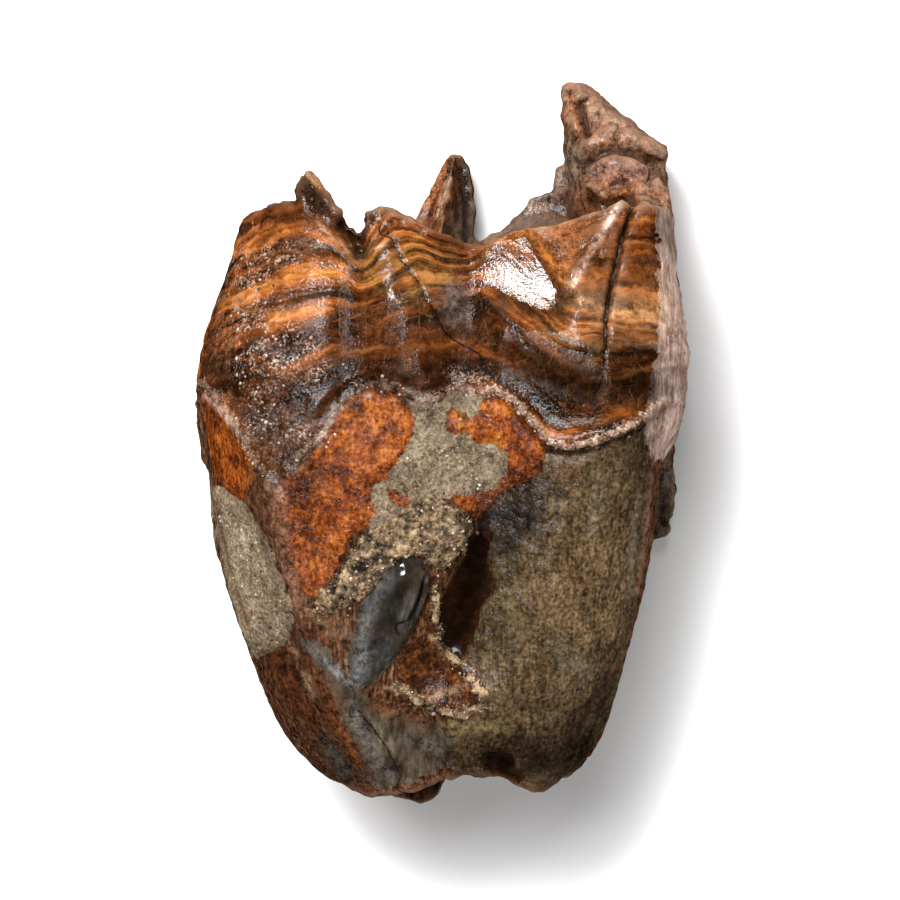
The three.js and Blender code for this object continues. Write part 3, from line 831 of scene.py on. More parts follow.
# %% Heights of the small forms, in mm
ROLLED_EDGE = [  # place across the tooth, and how thickly the enamel's edge is rolled there
    (-27, 0.5), (-22, 0.6), (-19, 0.1), (-15, 0.1), (-11, 0.4), (-4, 0.3), (2, 0.5),
    (6, 1.0), (11, 0.8), (14, 1.2), (22, 1.1), (25, 0.4),
]
CRACKS = [  # line, half width, depth
    (MAIN_CRACK, 0.26, 1.5),
    (CRACK_MID, 0.16, 0.5),
    (SEAM_LEFT, 0.2, 0.08),
    (TAIL_CRACK, 0.16, 0.5),
    (LENS_CLEFT, 0.3, 0.7),
]
FACE_RIDGES = [  # half width, height, how lumpy it is, line
    (0.4, 0.35, 0.2, CREST),
    (0.5, 0.3, 2.0, HOLLOW_RIM),
    (0.6, 0.5, 1.8, HOLLOW_LEDGE),
    (0.4, 0.25, 0.8, END_RIM),
    (0.7, -1.3, 0.8, NOTCH),
]
DEEP_RIDGES = [  # the same, for the spur and the horn, which lie below the upper face
    (0.9, 0.8, 0.5, BROW),
    (0.45, -0.9, 0.3, BROW_GROOVE),
    (1.1, 0.7, 0.8, HORN_SPINE),
    (0.45, -0.8, 0.4, HORN_GROOVE),
    (0.7, 0.7, 0.6, HORN_KNOB),
    (0.25, -0.7, 0.2, HORN_CRACK),
    (0.6, 0.9, 1.2, BROKEN_RIM),
    (0.3, -0.6, 0.4, SPUR_SEAM),
]
HORN_FOOT = 26.5, 28.0  # above these places the horn is behind the crown, whatever its height
TAIL_LEAN = np.radians(28)  # the lens and the grey tail below it have fibres that lean this much
TAIL_TURN = np.array([
    [np.cos(TAIL_LEAN), 0.12 * np.sin(TAIL_LEAN), 0],
    [-np.sin(TAIL_LEAN), 0.12 * np.cos(TAIL_LEAN), 0],
    [0, 0, 1],
])


def stretched(points, x, y, z):
    return points * np.array([x, y, z])


def on_face(place, strokes):
    """Strokes laid on the upper face alone, from 0 to 1."""
    return np.clip(painted(place["points"][:, :2], strokes) * place["face"], 0, 1)


def enamel_relief(place, growth):
    """Growth ridges, grit, and the polish that wears both away."""
    points, face = place["points"], place["face"]
    xy = points[:, :2]
    grit, polish = on_face(place, GRIT), on_face(place, GLOSS)
    layered = stretched(points, 0.12, 0, 0.12)
    layered[:, 1] = growth * GROWTH_STEP + 0.4 * lumps(points, 5, 2)
    ridges = 0.24 * lumps(layered, 2.0, 2) + 0.13 * lumps(layered, 0.95, 1, 31)
    column = rise(xy[:, 0], 14, 17) * rise(growth, 0.1, 0.3) * rise(1.3 - growth, 0, 0.3) * face
    height = ridges * (1 + 0.9 * column) + 0.07 * lumps(points, 1.1, 2, 5)
    height += grit * 0.45 * lumps(points, 0.9, 2, 9)
    height *= 1 - 0.75 * polish
    crumbling = rise(0.3 - growth, 0, 0.25) * face
    height += crumbling * 0.6 * lumps(points, 1.1, 2, 17)
    return height + (1 - face) * 0.5 * lumps(points, 4.2, 3, 15)


def root_relief(points, inside, depths):
    """The minerals that stand up from the root, or have sunk into it."""
    smooth = np.prod([1 - inside[name] for name in ("lens", "tail", "chocolate", "bridge")], axis=0)
    height = smooth * 0.14 * lumps(points, 0.8, 2, 12)
    height += inside["rust"] * (0.25 + 0.16 * lumps(stretched(points, 1, 0.5, 1), 0.9, 2, 13))
    height += inside["cement"] * (0.2 - 0.55 * np.abs(lumps(points, 1.3, 3, 4)))
    swell = 0.5 + lumps(points, 1.6, 3, 6)
    height += inside["crust"] * (0.3 + 1.1 * np.abs(swell) * rise(depths["crust"], -0.2, 1.2))
    height += (0.4 + 0.7 * rise(points[:, 1], -25, -20)) * rise(depths["lens"], -0.7, 1.8)
    groove = rise(points[:, 0], -9, -5)  # the lens sinks into the tail at its lower end
    height -= 0.3 * groove * np.exp(-(((depths["lens"] + 0.4) / 0.3) ** 2))
    height -= 0.45 * rise(depths["chocolate"], -0.6, 1.0)
    height -= 0.5 * rise(depths["bridge"], -0.6, 2.0)
    height += inside["bridge"] * 0.3 * lumps(points, 1.1, 3, 33)
    height += inside["bark"] * 0.2 * lumps(stretched(points, 1, 0.14, 1), 0.9, 2, 2)
    height += inside["bark"] * 0.14 * lumps(points, 0.7, 1, 3)
    return height + inside["tail"] * 0.16 * lumps(points @ TAIL_TURN, 0.9, 2, 2)


def relief_of(place, depths, growth):
    """The height of every small form, along the surface's normal, in mm."""
    points, face = place["points"], place["face"]
    xy = points[:, :2]
    outside = (1 - place["hollow"]) * (1 - place["broken"])
    enamel = rise(depths["enamel"], -0.3, 0.4) * outside
    root = (1 - enamel) * outside
    inside = {name: rise(depth, -0.3, 0.7) * root for name, depth in depths.items()}
    height = enamel * enamel_relief(place, growth) + root * root_relief(points, inside, depths)

    edge = depths["enamel"]
    beads = 0.5 + 0.9 * lumps(points, 0.7, 2, 3)
    rolled = level_of(xy, ROLLED_EDGE) * outside * face
    height += rolled * 0.8 * beads * np.exp(-(((edge - 0.4) / 0.55) ** 2))
    height -= rolled * 0.45 * np.exp(-(((edge + 0.85) / 0.5) ** 2))

    for line, half_width, deep in CRACKS:
        gap, reach = from_line(xy, line)
        taper = rise(1 - reach, 0, 0.55)
        height -= face * deep * taper * np.exp(-((gap / half_width) ** 2))
    worn = 0.4 * lumps(points, 3.2, 3, 25) + 0.3 * lumps(points, 1.1, 2, 26)
    height += place["broken"] * worn
    level = rise(xy[:, 1], *HORN_FOOT) * rise(depth_inside(xy, HORN_FACET), -0.8, 0.6)
    height *= 1 - 0.85 * level  # the horn has one flat oval break

    behind = np.maximum(1 - face, rise(xy[:, 1], *HORN_FOOT))
    for ridges, share in ((FACE_RIDGES, face), (DEEP_RIDGES, behind)):
        for half_width, tall, lumpy, line in ridges:
            near = share * brush(xy, half_width, line)
            height += near * tall * (1 + lumpy * lumps(points, 0.9, 2, 8)) * (1 - place["hollow"])
    worn_hollow = 0.6 * lumps(points, 4.5, 3, 27) + 0.2 * lumps(points, 1.0, 2)
    return height + place["hollow"] * worn_hollow


height = relief_of(sorted_skin, depths, growth)
carved = sorted_skin["points"] + height[:, None] * sorted_skin["facing"]
low, high = (np.array(corner) / MM for corner in cad_box)
MARGIN = 0.3  # mm that the carving may stand out of the solid's box, though never below the table
move_points(tooth.data, np.clip(carved, low + (-MARGIN, -MARGIN, 0), high + MARGIN))
print("relief from", round(float(height.min()), 2), "to", round(float(height.max()), 2), "mm")

# %% [markdown]
# ## Thin out what isn't needed
# The even skin has more points than a reusable part should carry. Decimation takes most of them
# from plain places and leaves the carved ones.

# %% Decimate
MOST_TRIANGLES = 196_000

triangles = sum(len(face.vertices) - 2 for face in tooth.data.polygons)
thin = tooth.modifiers.new("thin out", "DECIMATE")
thin.ratio = min(1.0, MOST_TRIANGLES / triangles)
tooth.data = applied(tooth)
tooth.modifiers.clear()
tooth.data.name = "fossil_tooth"
for face in tooth.data.polygons:
    face.use_smooth = True
print(triangles, "triangles before,", len(tooth.data.polygons), "faces after")

# %% [markdown]
# ## Colours of the minerals
# These are the stains that the ground left: iron gives rust and amber, manganese the near-black,
# lime the greys. They are linear colours. A wash is a soft stroke of one of them, laid where that
# stain lies on the tooth, as a restorer would tint a cast. A few washes are painted light instead:
# dark ones in the notch, under the brow and ledges and in the root's end hole, pale ones on the
# crest, the lens's streak and a grey sheen. The bands, grain and cracks come later.

# %% Palette and washes
PALETTE = {
    "black": (0.010, 0.007, 0.005), "nearblack": (0.024, 0.011, 0.005),
    "umber": (0.050, 0.017, 0.006), "deepbrown": (0.075, 0.027, 0.012),
    "redbrown": (0.135, 0.036, 0.009), "rustbrown": (0.150, 0.042, 0.010),
    "rust": (0.300, 0.080, 0.012), "russet": (0.215, 0.075, 0.026),
    "terracotta": (0.270, 0.095, 0.036), "orange": (0.330, 0.105, 0.018),
    "deeporange": (0.200, 0.068, 0.016), "amber": (0.560, 0.190, 0.034),
    "paleamber": (0.560, 0.300, 0.125), "ochre": (0.330, 0.155, 0.035),
    "olive": (0.052, 0.024, 0.008), "olivegrey": (0.105, 0.080, 0.048),
    "palecream": (0.560, 0.330, 0.180), "palepink": (0.600, 0.430, 0.340),
    "palestone": (0.400, 0.320, 0.240), "stonegrey": (0.165, 0.140, 0.125),
    "greybrown": (0.120, 0.066, 0.040), "pinkbrown": (0.190, 0.092, 0.058),
    "smoothbrown": (0.080, 0.032, 0.016), "barkbrown": (0.078, 0.048, 0.026),
    "barkdark": (0.050, 0.030, 0.013), "barklight": (0.185, 0.145, 0.095),
    "barkgold": (0.180, 0.125, 0.055), "inkgrey": (0.036, 0.030, 0.028),
    "inkbrown": (0.036, 0.025, 0.018), "tailgrey": (0.130, 0.110, 0.085),
    "slate": (0.090, 0.088, 0.092), "lensgrey": (0.170, 0.160, 0.145),
    "corebrown": (0.034, 0.017, 0.009), "greystreak": (0.230, 0.230, 0.230),
    "tan": (0.390, 0.240, 0.135),
    "horn": (0.270, 0.140, 0.088), "hornpale": (0.480, 0.290, 0.180),
    "hornpink": (0.260, 0.130, 0.094), "wallbrown": (0.160, 0.100, 0.070),
    "bulge": (0.260, 0.180, 0.145), "hooktan": (0.200, 0.150, 0.105),
    "hookdark": (0.058, 0.034, 0.020),
}
FACE_WASHES = [
    # left lobe of the enamel
    ("umber", 0.87, 0.6, [(-21.3, 25.4), (-18.2, 26.2), (-15.8, 27.1)]),
    ("umber", 0.98, 0.6, [(-17.1, 24.9), (-14.5, 23.6)]),
    ("orange", 0.49, 0.7, [(-21.7, 21.9), (-18.4, 23.2)]),
    ("umber", 0.49, 0.55, [(-20.4, 22.1), (-15.4, 22.4)]),
    ("terracotta", 0.44, 0.8, [(-15.8, 21.6), (-11.4, 21.6)]),
    ("umber", 0.44, 0.5, [(-18.4, 20.6), (-11.4, 20.4)]),
    ("orange", 0.33, 0.7, [(-22.1, 19.9), (-17.1, 21)]),
    ("amber", 0.49, 0.9, [(-24.5, 15.1), (-21.5, 16.2), (-18.6, 17.3)]),
    ("amber", 0.93, 0.95, [(-16.9, 18.3), (-14, 18.7), (-11.4, 18.8)]),
    ("umber", 0.44, 0.7, [(-18.9, 15.4), (-15.6, 16.2), (-11.4, 16.5)]),
    ("orange", 0.44, 0.7, [(-25, 12.9), (-22.6, 14), (-19.7, 14.6)]),
    ("amber", 0.55, 0.9, [(-19.1, 13.8), (-15.4, 14.4), (-12.7, 14.6)]),
    ("redbrown", 0.77, 0.6, [(-15.4, 12), (-12.7, 12.9)]),
    ("orange", 0.33, 0.5, [(-18.4, 9.8), (-13.6, 11.1)]),
    ("rust", 0.77, 0.7, [(-18.2, 7.2), (-14, 8.7)]),
    ("stonegrey", 0.66, 0.45, [(-20.4, 10.7), (-16.7, 9.6)]),
    ("umber", 0.98, 0.8, [(-25, 7.6), (-19.3, 7.2)]),
    ("umber", 0.87, 0.8, [(-18.4, 6.8), (-15.4, 5)]),
    ("umber", 0.66, 0.6, [(-25.4, 12.5), (-26.1, 8.7)]),
    ("redbrown", 1.09, 0.5, [(-18.9, 4.8), (-13.4, 3.5)]),
    ("greybrown", 1.42, 0.6, [(-21.7, 3.3), (-13.8, 2.6)]),
    ("greybrown", 1.2, 0.6, [(-19.7, 0.4), (-15.6, -0.5)]),
    # spur on the rim and the notch beside it
    ("deepbrown", 1.1, 0.75, [(-15.4, 27.8), (-11.9, 24.5)]),
    ("greybrown", 0.5, 0.7, [(-15, 28.6), (-12.9, 25.5)]),
    ("palecream", 0.22, 0.8, [(-15.1, 29.9), (-14, 28.2)]),
    ("pinkbrown", 0.33, 0.7, [(-13.2, 27.6), (-11.6, 24.9)]),
    # painted shade: near-black in the notch beside the spur
    ("nearblack", 0.8, 0.9, [(-11.2, 24.4), (-9.3, 21)]),
    ("palecream", 0.2, 0.6, [(-14, 24.1), (-11.4, 21.9)]),
    ("palecream", 0.15, 0.8, [(-11.4, 22.1), (-10.3, 20.8), (-9, 20.3), (-7.5, 21), (-5.9, 21.9)]),
    # middle fold
    ("greybrown", 0.98, 0.8, [(-7.5, 25.2), (-4.6, 25.3)]),
    ("ochre", 2.2, 0.42, [(-8, 19.8), (-1, 19)]),
    ("ochre", 0.33, 0.8, [(-2.4, 22.5), (-4.6, 20.3), (-7, 18.1)]),
    ("ochre", 0.66, 0.6, [(-7.9, 18.6), (-7, 16.6)]),
    ("ochre", 0.44, 0.8, [(0.6, 18.6), (-1.3, 17.7), (-4.4, 15.5)]),
    ("umber", 0.55, 0.6, [(-6.4, 19.7), (-4.8, 17.7)]),
    # painted sheen: a grey patch where the surface reflects the room
    ("stonegrey", 1.31, 0.85, [(1.2, 16.6), (1.5, 13.8)]),
    ("redbrown", 2.4, 0.6, [(-5.7, 12), (-1.6, 8.1)]),
    ("umber", 0.77, 0.6, [(-11.2, 12.2), (-11.9, 5.7)]),
    ("deepbrown", 0.98, 0.6, [(-8.4, 14.2), (-9.4, 10.1)]),
    ("umber", 0.98, 0.6, [(-1.3, 5.9), (3, 7)]),
    # right lobe
    ("redbrown", 0.77, 0.7, [(-0.7, 23.2), (3.9, 21.2)]),
    ("olive", 0.87, 0.7, [(0, 21.4), (3, 18.6)]),
    ("ochre", 0.33, 0.6, [(-1.3, 17.9), (1.9, 17.8)]),
    ("orange", 0.44, 0.8, [(4.1, 21), (9.2, 23.2)]),
    ("olive", 1.75, 0.6, [(5.4, 19.7), (11.6, 13.6)]),
    ("ochre", 0.22, 0.6, [(7, 18.1), (10.5, 15.1)]),
    ("amber", 0.39, 0.95, [(8.5, 23.4), (10.9, 21.2), (13.8, 16.8)]),
    ("russet", 1.31, 0.85, [(11.3, 22.5), (16.2, 23.9)]),
    ("russet", 1.31, 0.85, [(13.5, 19.7), (14.2, 21.2)]),
    # painted highlight: a pale line down the crest, where the lamp glints on the ridge
    ("palepink", 0.38, 0.9, [(19.4, 26), (16.8, 21.6), (14, 16.9)]),
    ("deeporange", 2.19, 0.5, [(15.5, 20.6), (22.9, 17.7)]),
    ("paleamber", 2.0, 0.3, [(15, 15.3), (23.5, 14.6)]),
    ("olivegrey", 1.4, 0.35, [(17, 12.8), (23.4, 12.6)]),
    ("paleamber", 0.46, 0.9, [(14.8, 15.5), (18.3, 14.3), (23.4, 13.8)]),
    ("umber", 0.44, 0.7, [(16.2, 12.2), (23.4, 11.6)]),
    ("ochre", 0.55, 0.6, [(10.9, 11.6), (15.3, 10.9), (18.3, 9.8)]),
    ("olivegrey", 0.44, 0.6, [(18.6, 11.1), (23.4, 10.5)]),
    ("nearblack", 2.19, 0.9, [(12, 8.7), (22.7, 5.5)]),
    ("redbrown", 0.44, 0.6, [(17.9, 8.1), (17.7, 4.4)]),
    ("redbrown", 0.87, 0.7, [(7.2, 9.8), (9.2, 11.1)]),
    ("redbrown", 1.31, 0.6, [(-0.5, 10.9), (3, 9)]),
    ("nearblack", 0.87, 0.7, [(10.9, 2.4), (16.4, 2.4)]),
    ("rust", 0.44, 0.7, [(13.8, 1.4), (15.3, 0.9)]),
    ("rust", 0.66, 0.6, [(18.6, 2.7), (21.6, 3.5)]),
    # pale rim of the enamel where it has not rolled up
    ("palepink", 0.24, 0.8, [(-26.3, 5.2), (-24.1, 3), (-21.5, 0)]),
    ("palepink", 0.2, 0.6, [(-16.7, -2), (-13.6, 0.4), (-11, 3.5), (-7.9, 5.2)]),
    ("palestone", 0.44, 0.8, [(-4, 5.7), (-0.7, 4.1)]),
    # root: the smooth brown tract on the left
    ("smoothbrown", 1.09, 0.9, [(-20.6, -3.7), (-19.9, -7.9), (-18.4, -10.5)]),
    ("pinkbrown", 0.77, 0.8, [(-18.2, -4.8), (-17.1, -11.8), (-15.4, -18.6)]),
    ("palestone", 0.28, 0.6, [(-17.7, -4.8), (-17.3, -6.6)]),
    ("greybrown", 1.31, 0.7, [(-14.3, -18), (-10.5, -21.7)]),
    ("barkbrown", 0.77, 0.6, [(-19.3, -11.8), (-18, -16.4)]),
    ("deepbrown", 0.26, 0.8, [(-25.1, -6.6), (-23.7, -13.1), (-21.5, -20.1)]),
    # root: the lens and what is round it
    ("slate", 0.77, 0.7, [(-5.7, -15.1), (-8.4, -19.5)]),
    ("corebrown", 0.66, 0.9, [(-4, -15.3), (-4.8, -17.3)]),
    ("palestone", 0.28, 0.6, [(-1.7, -14), (-2, -15.3)]),
    ("lensgrey", 0.98, 0.8, [(-8.4, -20.2), (-8.6, -23.1)]),
    ("greystreak", 0.7, 0.5, [(-8.5, -22.5), (-9.3, -26)]),
    # partly the glassy grey of the root's edge, partly a painted highlight streak
    ("greystreak", 0.45, 0.7, [(-14.9, -22.3), (-12.3, -24.5), (-9.9, -26.7)]),
    ("pinkbrown", 0.66, 0.6, [(-12.7, -26.7), (-11, -29.6)]),
    ("umber", 1.6, 0.7, [(-15.6, -21.6), (-15.2, -24.5), (-12.6, -28.5)]),
    ("rustbrown", 1.3, 0.75, [(-18.4, -23.5), (-16.4, -28), (-13.2, -32.2)]),
    ("redbrown", 0.6, 0.6, [(-14.6, -24.5), (-11.4, -30.5), (-9.4, -35.4)]),
    ("tan", 0.5, 0.6, [(-15, -25.6), (-14.4, -27.6)]),
    ("tan", 0.3, 0.5, [(-17, -22), (-15.8, -23.6)]),
    ("rust", 0.3, 0.7, [(-12.4, -29.4), (-9.2, -35.4)]),
    ("tailgrey", 0.8, 0.8, [(-13.2, -32.6), (-10.6, -36.6)]),
    ("tailgrey", 0.87, 0.8, [(-10.1, -30.4), (-6.6, -35.9)]),
    ("greystreak", 0.35, 0.45, [(-9.9, -28.5), (-8.0, -33.5), (-5.5, -36.8)]),
    ("nearblack", 0.77, 0.7, [(-6.4, -34.9), (-4.4, -36.2)]),
    ("russet", 0.77, 0.6, [(-7.5, -29.1), (-2.4, -30.9)]),
    ("tailgrey", 0.87, 0.7, [(-3.5, -32.6), (-0.5, -33.9)]),
    ("tan", 0.31, 0.7, [(-6.2, -26.9), (-1.3, -28.2), (3, -26.5)]),
    # painted shadow under the crusty ledge below the hollow
    ("nearblack", 0.26, 0.8, [(-1.3, -29.6), (3, -29.6)]),
    ("tan", 0.26, 0.8, [(-1.3, -21.2), (0, -23), (2.2, -24.6)]),
    # root: the grey bark
    ("inkgrey", 0.98, 0.8, [(5.2, -7.9), (9.6, -8.5)]),
    ("inkgrey", 0.87, 0.7, [(9.2, -9.6), (7.6, -10.7)]),
    ("black", 0.55, 0.95, [(12.7, -5.6), (13.6, -5.7)]),
    ("deepbrown", 0.87, 0.5, [(12.7, -3.1), (15.5, -4.2)]),
    ("barklight", 0.77, 0.5, [(16.8, -4.2), (16.6, -9.6)]),
    ("pinkbrown", 0.35, 0.95, [(22.8, -3.5), (22.3, -11.8), (21.4, -16.4)]),
    ("barklight", 0.44, 0.5, [(21.4, -6.4), (20.5, -16.2)]),
    ("barkbrown", 0.44, 0.6, [(17.3, -11.8), (17.9, -16.2)]),
    ("barkgold", 1.31, 0.5, [(6.3, -14), (8.5, -20.6)]),
    ("barklight", 1.53, 0.5, [(12.9, -23), (15.3, -24.7)]),
    ("barkdark", 0.87, 0.6, [(5.2, -28.5), (17.3, -29.6)]),
    ("barkgold", 0.66, 0.8, [(0.6, -31.3), (7.2, -31.3)]),
    ("nearblack", 1.09, 0.8, [(8.7, -32.8), (12.2, -35.7)]),
    ("barkbrown", 0.77, 0.8, [(14.2, -32.4), (11.8, -37)]),
    # painted shade: a black spot stands for the deep hole at the root's end
    ("black", 0.6, 0.95, [(4.8, -34.4), (7.6, -35.5)]),
    ("russet", 0.26, 0.8, [(19.2, -24.5), (18.8, -25.4)]),
]
DEEP_WASHES = [
    # spur on the rim
    ("deepbrown", 1.2, 0.85, [(-15.4, 28.4), (-13, 26.6)]),
    ("palecream", 0.25, 0.8, [(-15.1, 29.9), (-14, 28.2)]),
    ("pinkbrown", 0.5, 0.8, [(-13.6, 27.9), (-11.7, 25.2)]),
    # horn on the right
    ("horn", 2.84, 0.9, [(15, 38.9), (18.1, 35.7), (22.2, 33.3), (24, 28.3)]),
    ("hornpale", 0.55, 0.6, [(15.9, 38.4), (17.7, 37.1), (20.2, 35.7)]),
    ("russet", 0.7, 0.6, [(14.6, 39.4), (14.7, 36.5), (15.4, 34.6)]),
    ("deepbrown", 0.35, 0.8, HORN_GROOVE),
    ("olivegrey", 0.8, 0.7, [(14.2, 34.2), (14.6, 31.5)]),
    ("hornpink", 1.3, 0.9, [(17.4, 30.2), (21.8, 30.3)]),
    # painted shadow under the brow
    ("nearblack", 0.35, 0.75, BROW_GROOVE),
    ("ochre", 0.5, 0.5, [(22, 32.4), (23.4, 31.6)]),
    ("horn", 0.25, 0.6, [(18.2, 29.4), (19.2, 30.4), (20.6, 29.8)]),
    ("black", 0.2, 0.9, HORN_CRACK),
    # painted shadow under the broken rim
    ("nearblack", 0.7, 0.85, [(16.6, 27.2), (18.6, 26.4), (20.2, 26.8)]),
    ("russet", 0.55, 0.95, BROKEN_RIM),
    ("deepbrown", 0.44, 0.6, [(14.5, 35.3), (15.4, 32.8)]),
    # wall between the blade and the horn
    ("wallbrown", 2.19, 0.9, [(8, 25.2), (11.8, 27.2), (14.5, 30.8)]),
    ("deepbrown", 0.66, 0.5, [(10.9, 26.5), (13.2, 29.2)]),
    # blade
    ("terracotta", 0.9, 0.8, [(-2.6, 25.2), (0.2, 31.2)]),
    ("hornpale", 0.3, 0.7, [(-0.6, 25.4), (1, 31)]),
    ("inkbrown", 1.1, 0.92, [(2.4, 31), (3.1, 23.6)]),
    # swelling and hook on the right
    ("bulge", 1.31, 0.5, [(25.8, 20.2), (26.9, 13.7), (27.1, 9.2), (26.4, 3.6)]),
    ("greybrown", 0.8, 0.5, [(26.6, 19), (27.1, 12), (26.4, 5)]),
    ("deepbrown", 0.44, 0.6, [(25.2, 17), (25.6, 11), (24.9, 5)]),
    ("hookdark", 1.3, 0.95, [(24.9, -2), (25.1, -10.5)]),
    ("hooktan", 0.6, 0.5, [(24.9, 0.2), (25.3, -4.5)]),
]


def washed(place):
    """The washes laid over each other: their colour, and in the last column how much they cover."""
    xy = place["points"][:, :2]
    laid = np.zeros((len(xy), 4))
    for strokes, share in ((FACE_WASHES, place["face"]), (DEEP_WASHES, 1 - place["face"])):
        for name, width, amount, line in strokes:
            weight = (amount * share * brush(xy, width, line))[:, None]
            laid = laid * (1 - weight) + weight * np.array([*PALETTE[name], 1])
    laid[:, :3] /= np.maximum(laid[:, 3:], 1e-3)
    return laid


print(len(PALETTE), "colours,", len(FACE_WASHES) + len(DEEP_WASHES), "washes")

# %% [markdown]
# ## Write the numbers onto the mesh
# Everything the material needs to know is stored on the points as named attributes. The shader
# reads them back, so the pattern stays on the surface when the tooth is turned or moved.

# %% Store the attributes
def store(mesh, name, values):
    kind, field = ("FLOAT", "value") if values.ndim == 1 else ("FLOAT_COLOR", "color")
    layer = mesh.attributes.new(name, kind, "POINT")
    layer.data.foreach_set(field, np.ascontiguousarray(values, np.float32).ravel())


WALL_REACH = 9  # mm, as far as the layers of a broken wall are told
CRACK_REACH = 5  # mm, as far as the distance to a crack is told
CRUSTED_RIDGES = FACE_RIDGES[1:3]  # the two round the chocolate hollow
CRUST_SPREAD = 1.3  # how far past a ridge its crust reaches, in half widths
SIDE_SHADE, SIDE_MOTTLE = 0.45, 0.35
DARKEST, PALEST = 0.75, -0.6  # limits of the shade
BEND = 0.03  # mm from its neighbours' mean that makes a point a pit


def wall_depth(place):
    """How far each point of a break or hollow lies from the tooth's outer skin."""
    outer = np.flatnonzero((place["hollow"] < 0.2) & (place["broken"] < 0.1))
    inner = np.flatnonzero((place["hollow"] > 0.2) | (place["broken"] > 0.05))
    tree = KDTree(len(outer))
    for number in outer:
        tree.insert(place["points"][number], int(number))
    tree.balance()
    depth = np.zeros(len(place["points"]))
    for number in inner:
        depth[number] = min(tree.find(place["points"][number])[2], WALL_REACH)
    return depth


finished = sort_surface(tooth)
mesh = tooth.data
seen_xy = finished["points"][:, :2]
depths = minerals_of(finished, 2)
for name, depth in depths.items():
    store(mesh, name, depth)
store(mesh, "growth", growth_of(finished))
store(mesh, "wall", wall_depth(finished))
for name in ("hollow", "broken", "face"):
    store(mesh, name, finished[name])
for name, strokes in (("grit", GRIT), ("crackle", CRACKLE)):
    store(mesh, name, on_face(finished, strokes))
store(mesh, "gloss", np.clip(0.5 + 0.5 * painted(seen_xy, GLOSS) * finished["face"], 0, 1))
deep_crown = (1 - finished["face"]) * rise(finished["points"][:, 1], 12, 20)
plain = painted(seen_xy, PLAIN) * finished["face"] + deep_crown
store(mesh, "plain", np.clip(plain, 0, 1))
store(mesh, "wash", washed(finished))
for number, (line, _, _) in enumerate(CRACKS):
    gap, reach = from_line(seen_xy, line)
    near_end = rise(np.abs(reach - 0.5), 0.42, 0.5)
    seen = finished["face"] > 0.5
    near = np.clip(gap, -CRACK_REACH, CRACK_REACH)
    store(mesh, f"crack_{number}", np.where(seen, near, CRACK_REACH) + near_end)
ridge = np.zeros(len(seen_xy))
for half_width, _, _, line in CRUSTED_RIDGES:
    near = brush(seen_xy, half_width * CRUST_SPREAD, line)
    ridge = np.maximum(ridge, finished["face"] * near)
store(mesh, "ridge", ridge)
rolled = level_of(seen_xy, ROLLED_EDGE) * finished["face"]
store(mesh, "rolled", rolled)
walls = (1 - finished["face"]) * rise(depths["side"], -0.3, 0.3)
# Shade strokes on the upper face: mostly stain, in places painted shade and painted highlight; the
# side patch off the face is darkened too.
shade = painted(seen_xy, SHADE) * finished["face"]
shade += walls * (SIDE_SHADE + SIDE_MOTTLE * lumps(finished["points"], 5, 2, 55))
store(mesh, "shade", np.clip(shade, PALEST, DARKEST))
store(mesh, "top", rise(finished["net"].spread(finished["facing"][:, 2], 3), 0.3, 0.8))
bend = finished["net"].mean(finished["points"]) - finished["points"]
pit = finished["net"].spread((bend * finished["facing"]).sum(1), 2)
store(mesh, "pit", np.clip(pit / BEND, -2, 2))
print("attributes:", sorted(a.name for a in mesh.attributes))

# %% [markdown]
# ## Writing a material as sums
# A shader is a graph of nodes, and a graph written node by node is hard to read. The small class
# below wraps one output of a node. Adding or multiplying two of them adds the Math node, so the
# rest of the material can be written as ordinary sums. One method makes every other kind of node.

# %% A wire that can be added and multiplied
class Wire:
    """One output of a node."""

    def __init__(self, board, socket):
        self.board, self.socket = board, socket

    def maths(self, operation, *values):
        inputs = dict(enumerate(values))
        return self.board.node("ShaderNodeMath", {"operation": operation}, inputs)

    def __add__(self, other):
        return self.maths("ADD", self, other)

    def __sub__(self, other):
        return self.maths("SUBTRACT", self, other)

    def __rsub__(self, other):
        return self.maths("SUBTRACT", other, self)

    def __mul__(self, other):
        return self.maths("MULTIPLY", self, other)

    def __abs__(self):
        return self.maths("ABSOLUTE", self)

    __radd__, __rmul__ = __add__, __mul__

    def rise(self, low, high):
        """0 below low, 1 above high, and a soft curve between."""
        settings = {"interpolation_type": "SMOOTHSTEP"}
        inputs = {"Value": self, "From Min": low, "From Max": high}
        return self.board.node("ShaderNodeMapRange", settings, inputs)

    def most(self, other):
        return self.maths("MAXIMUM", self, other)


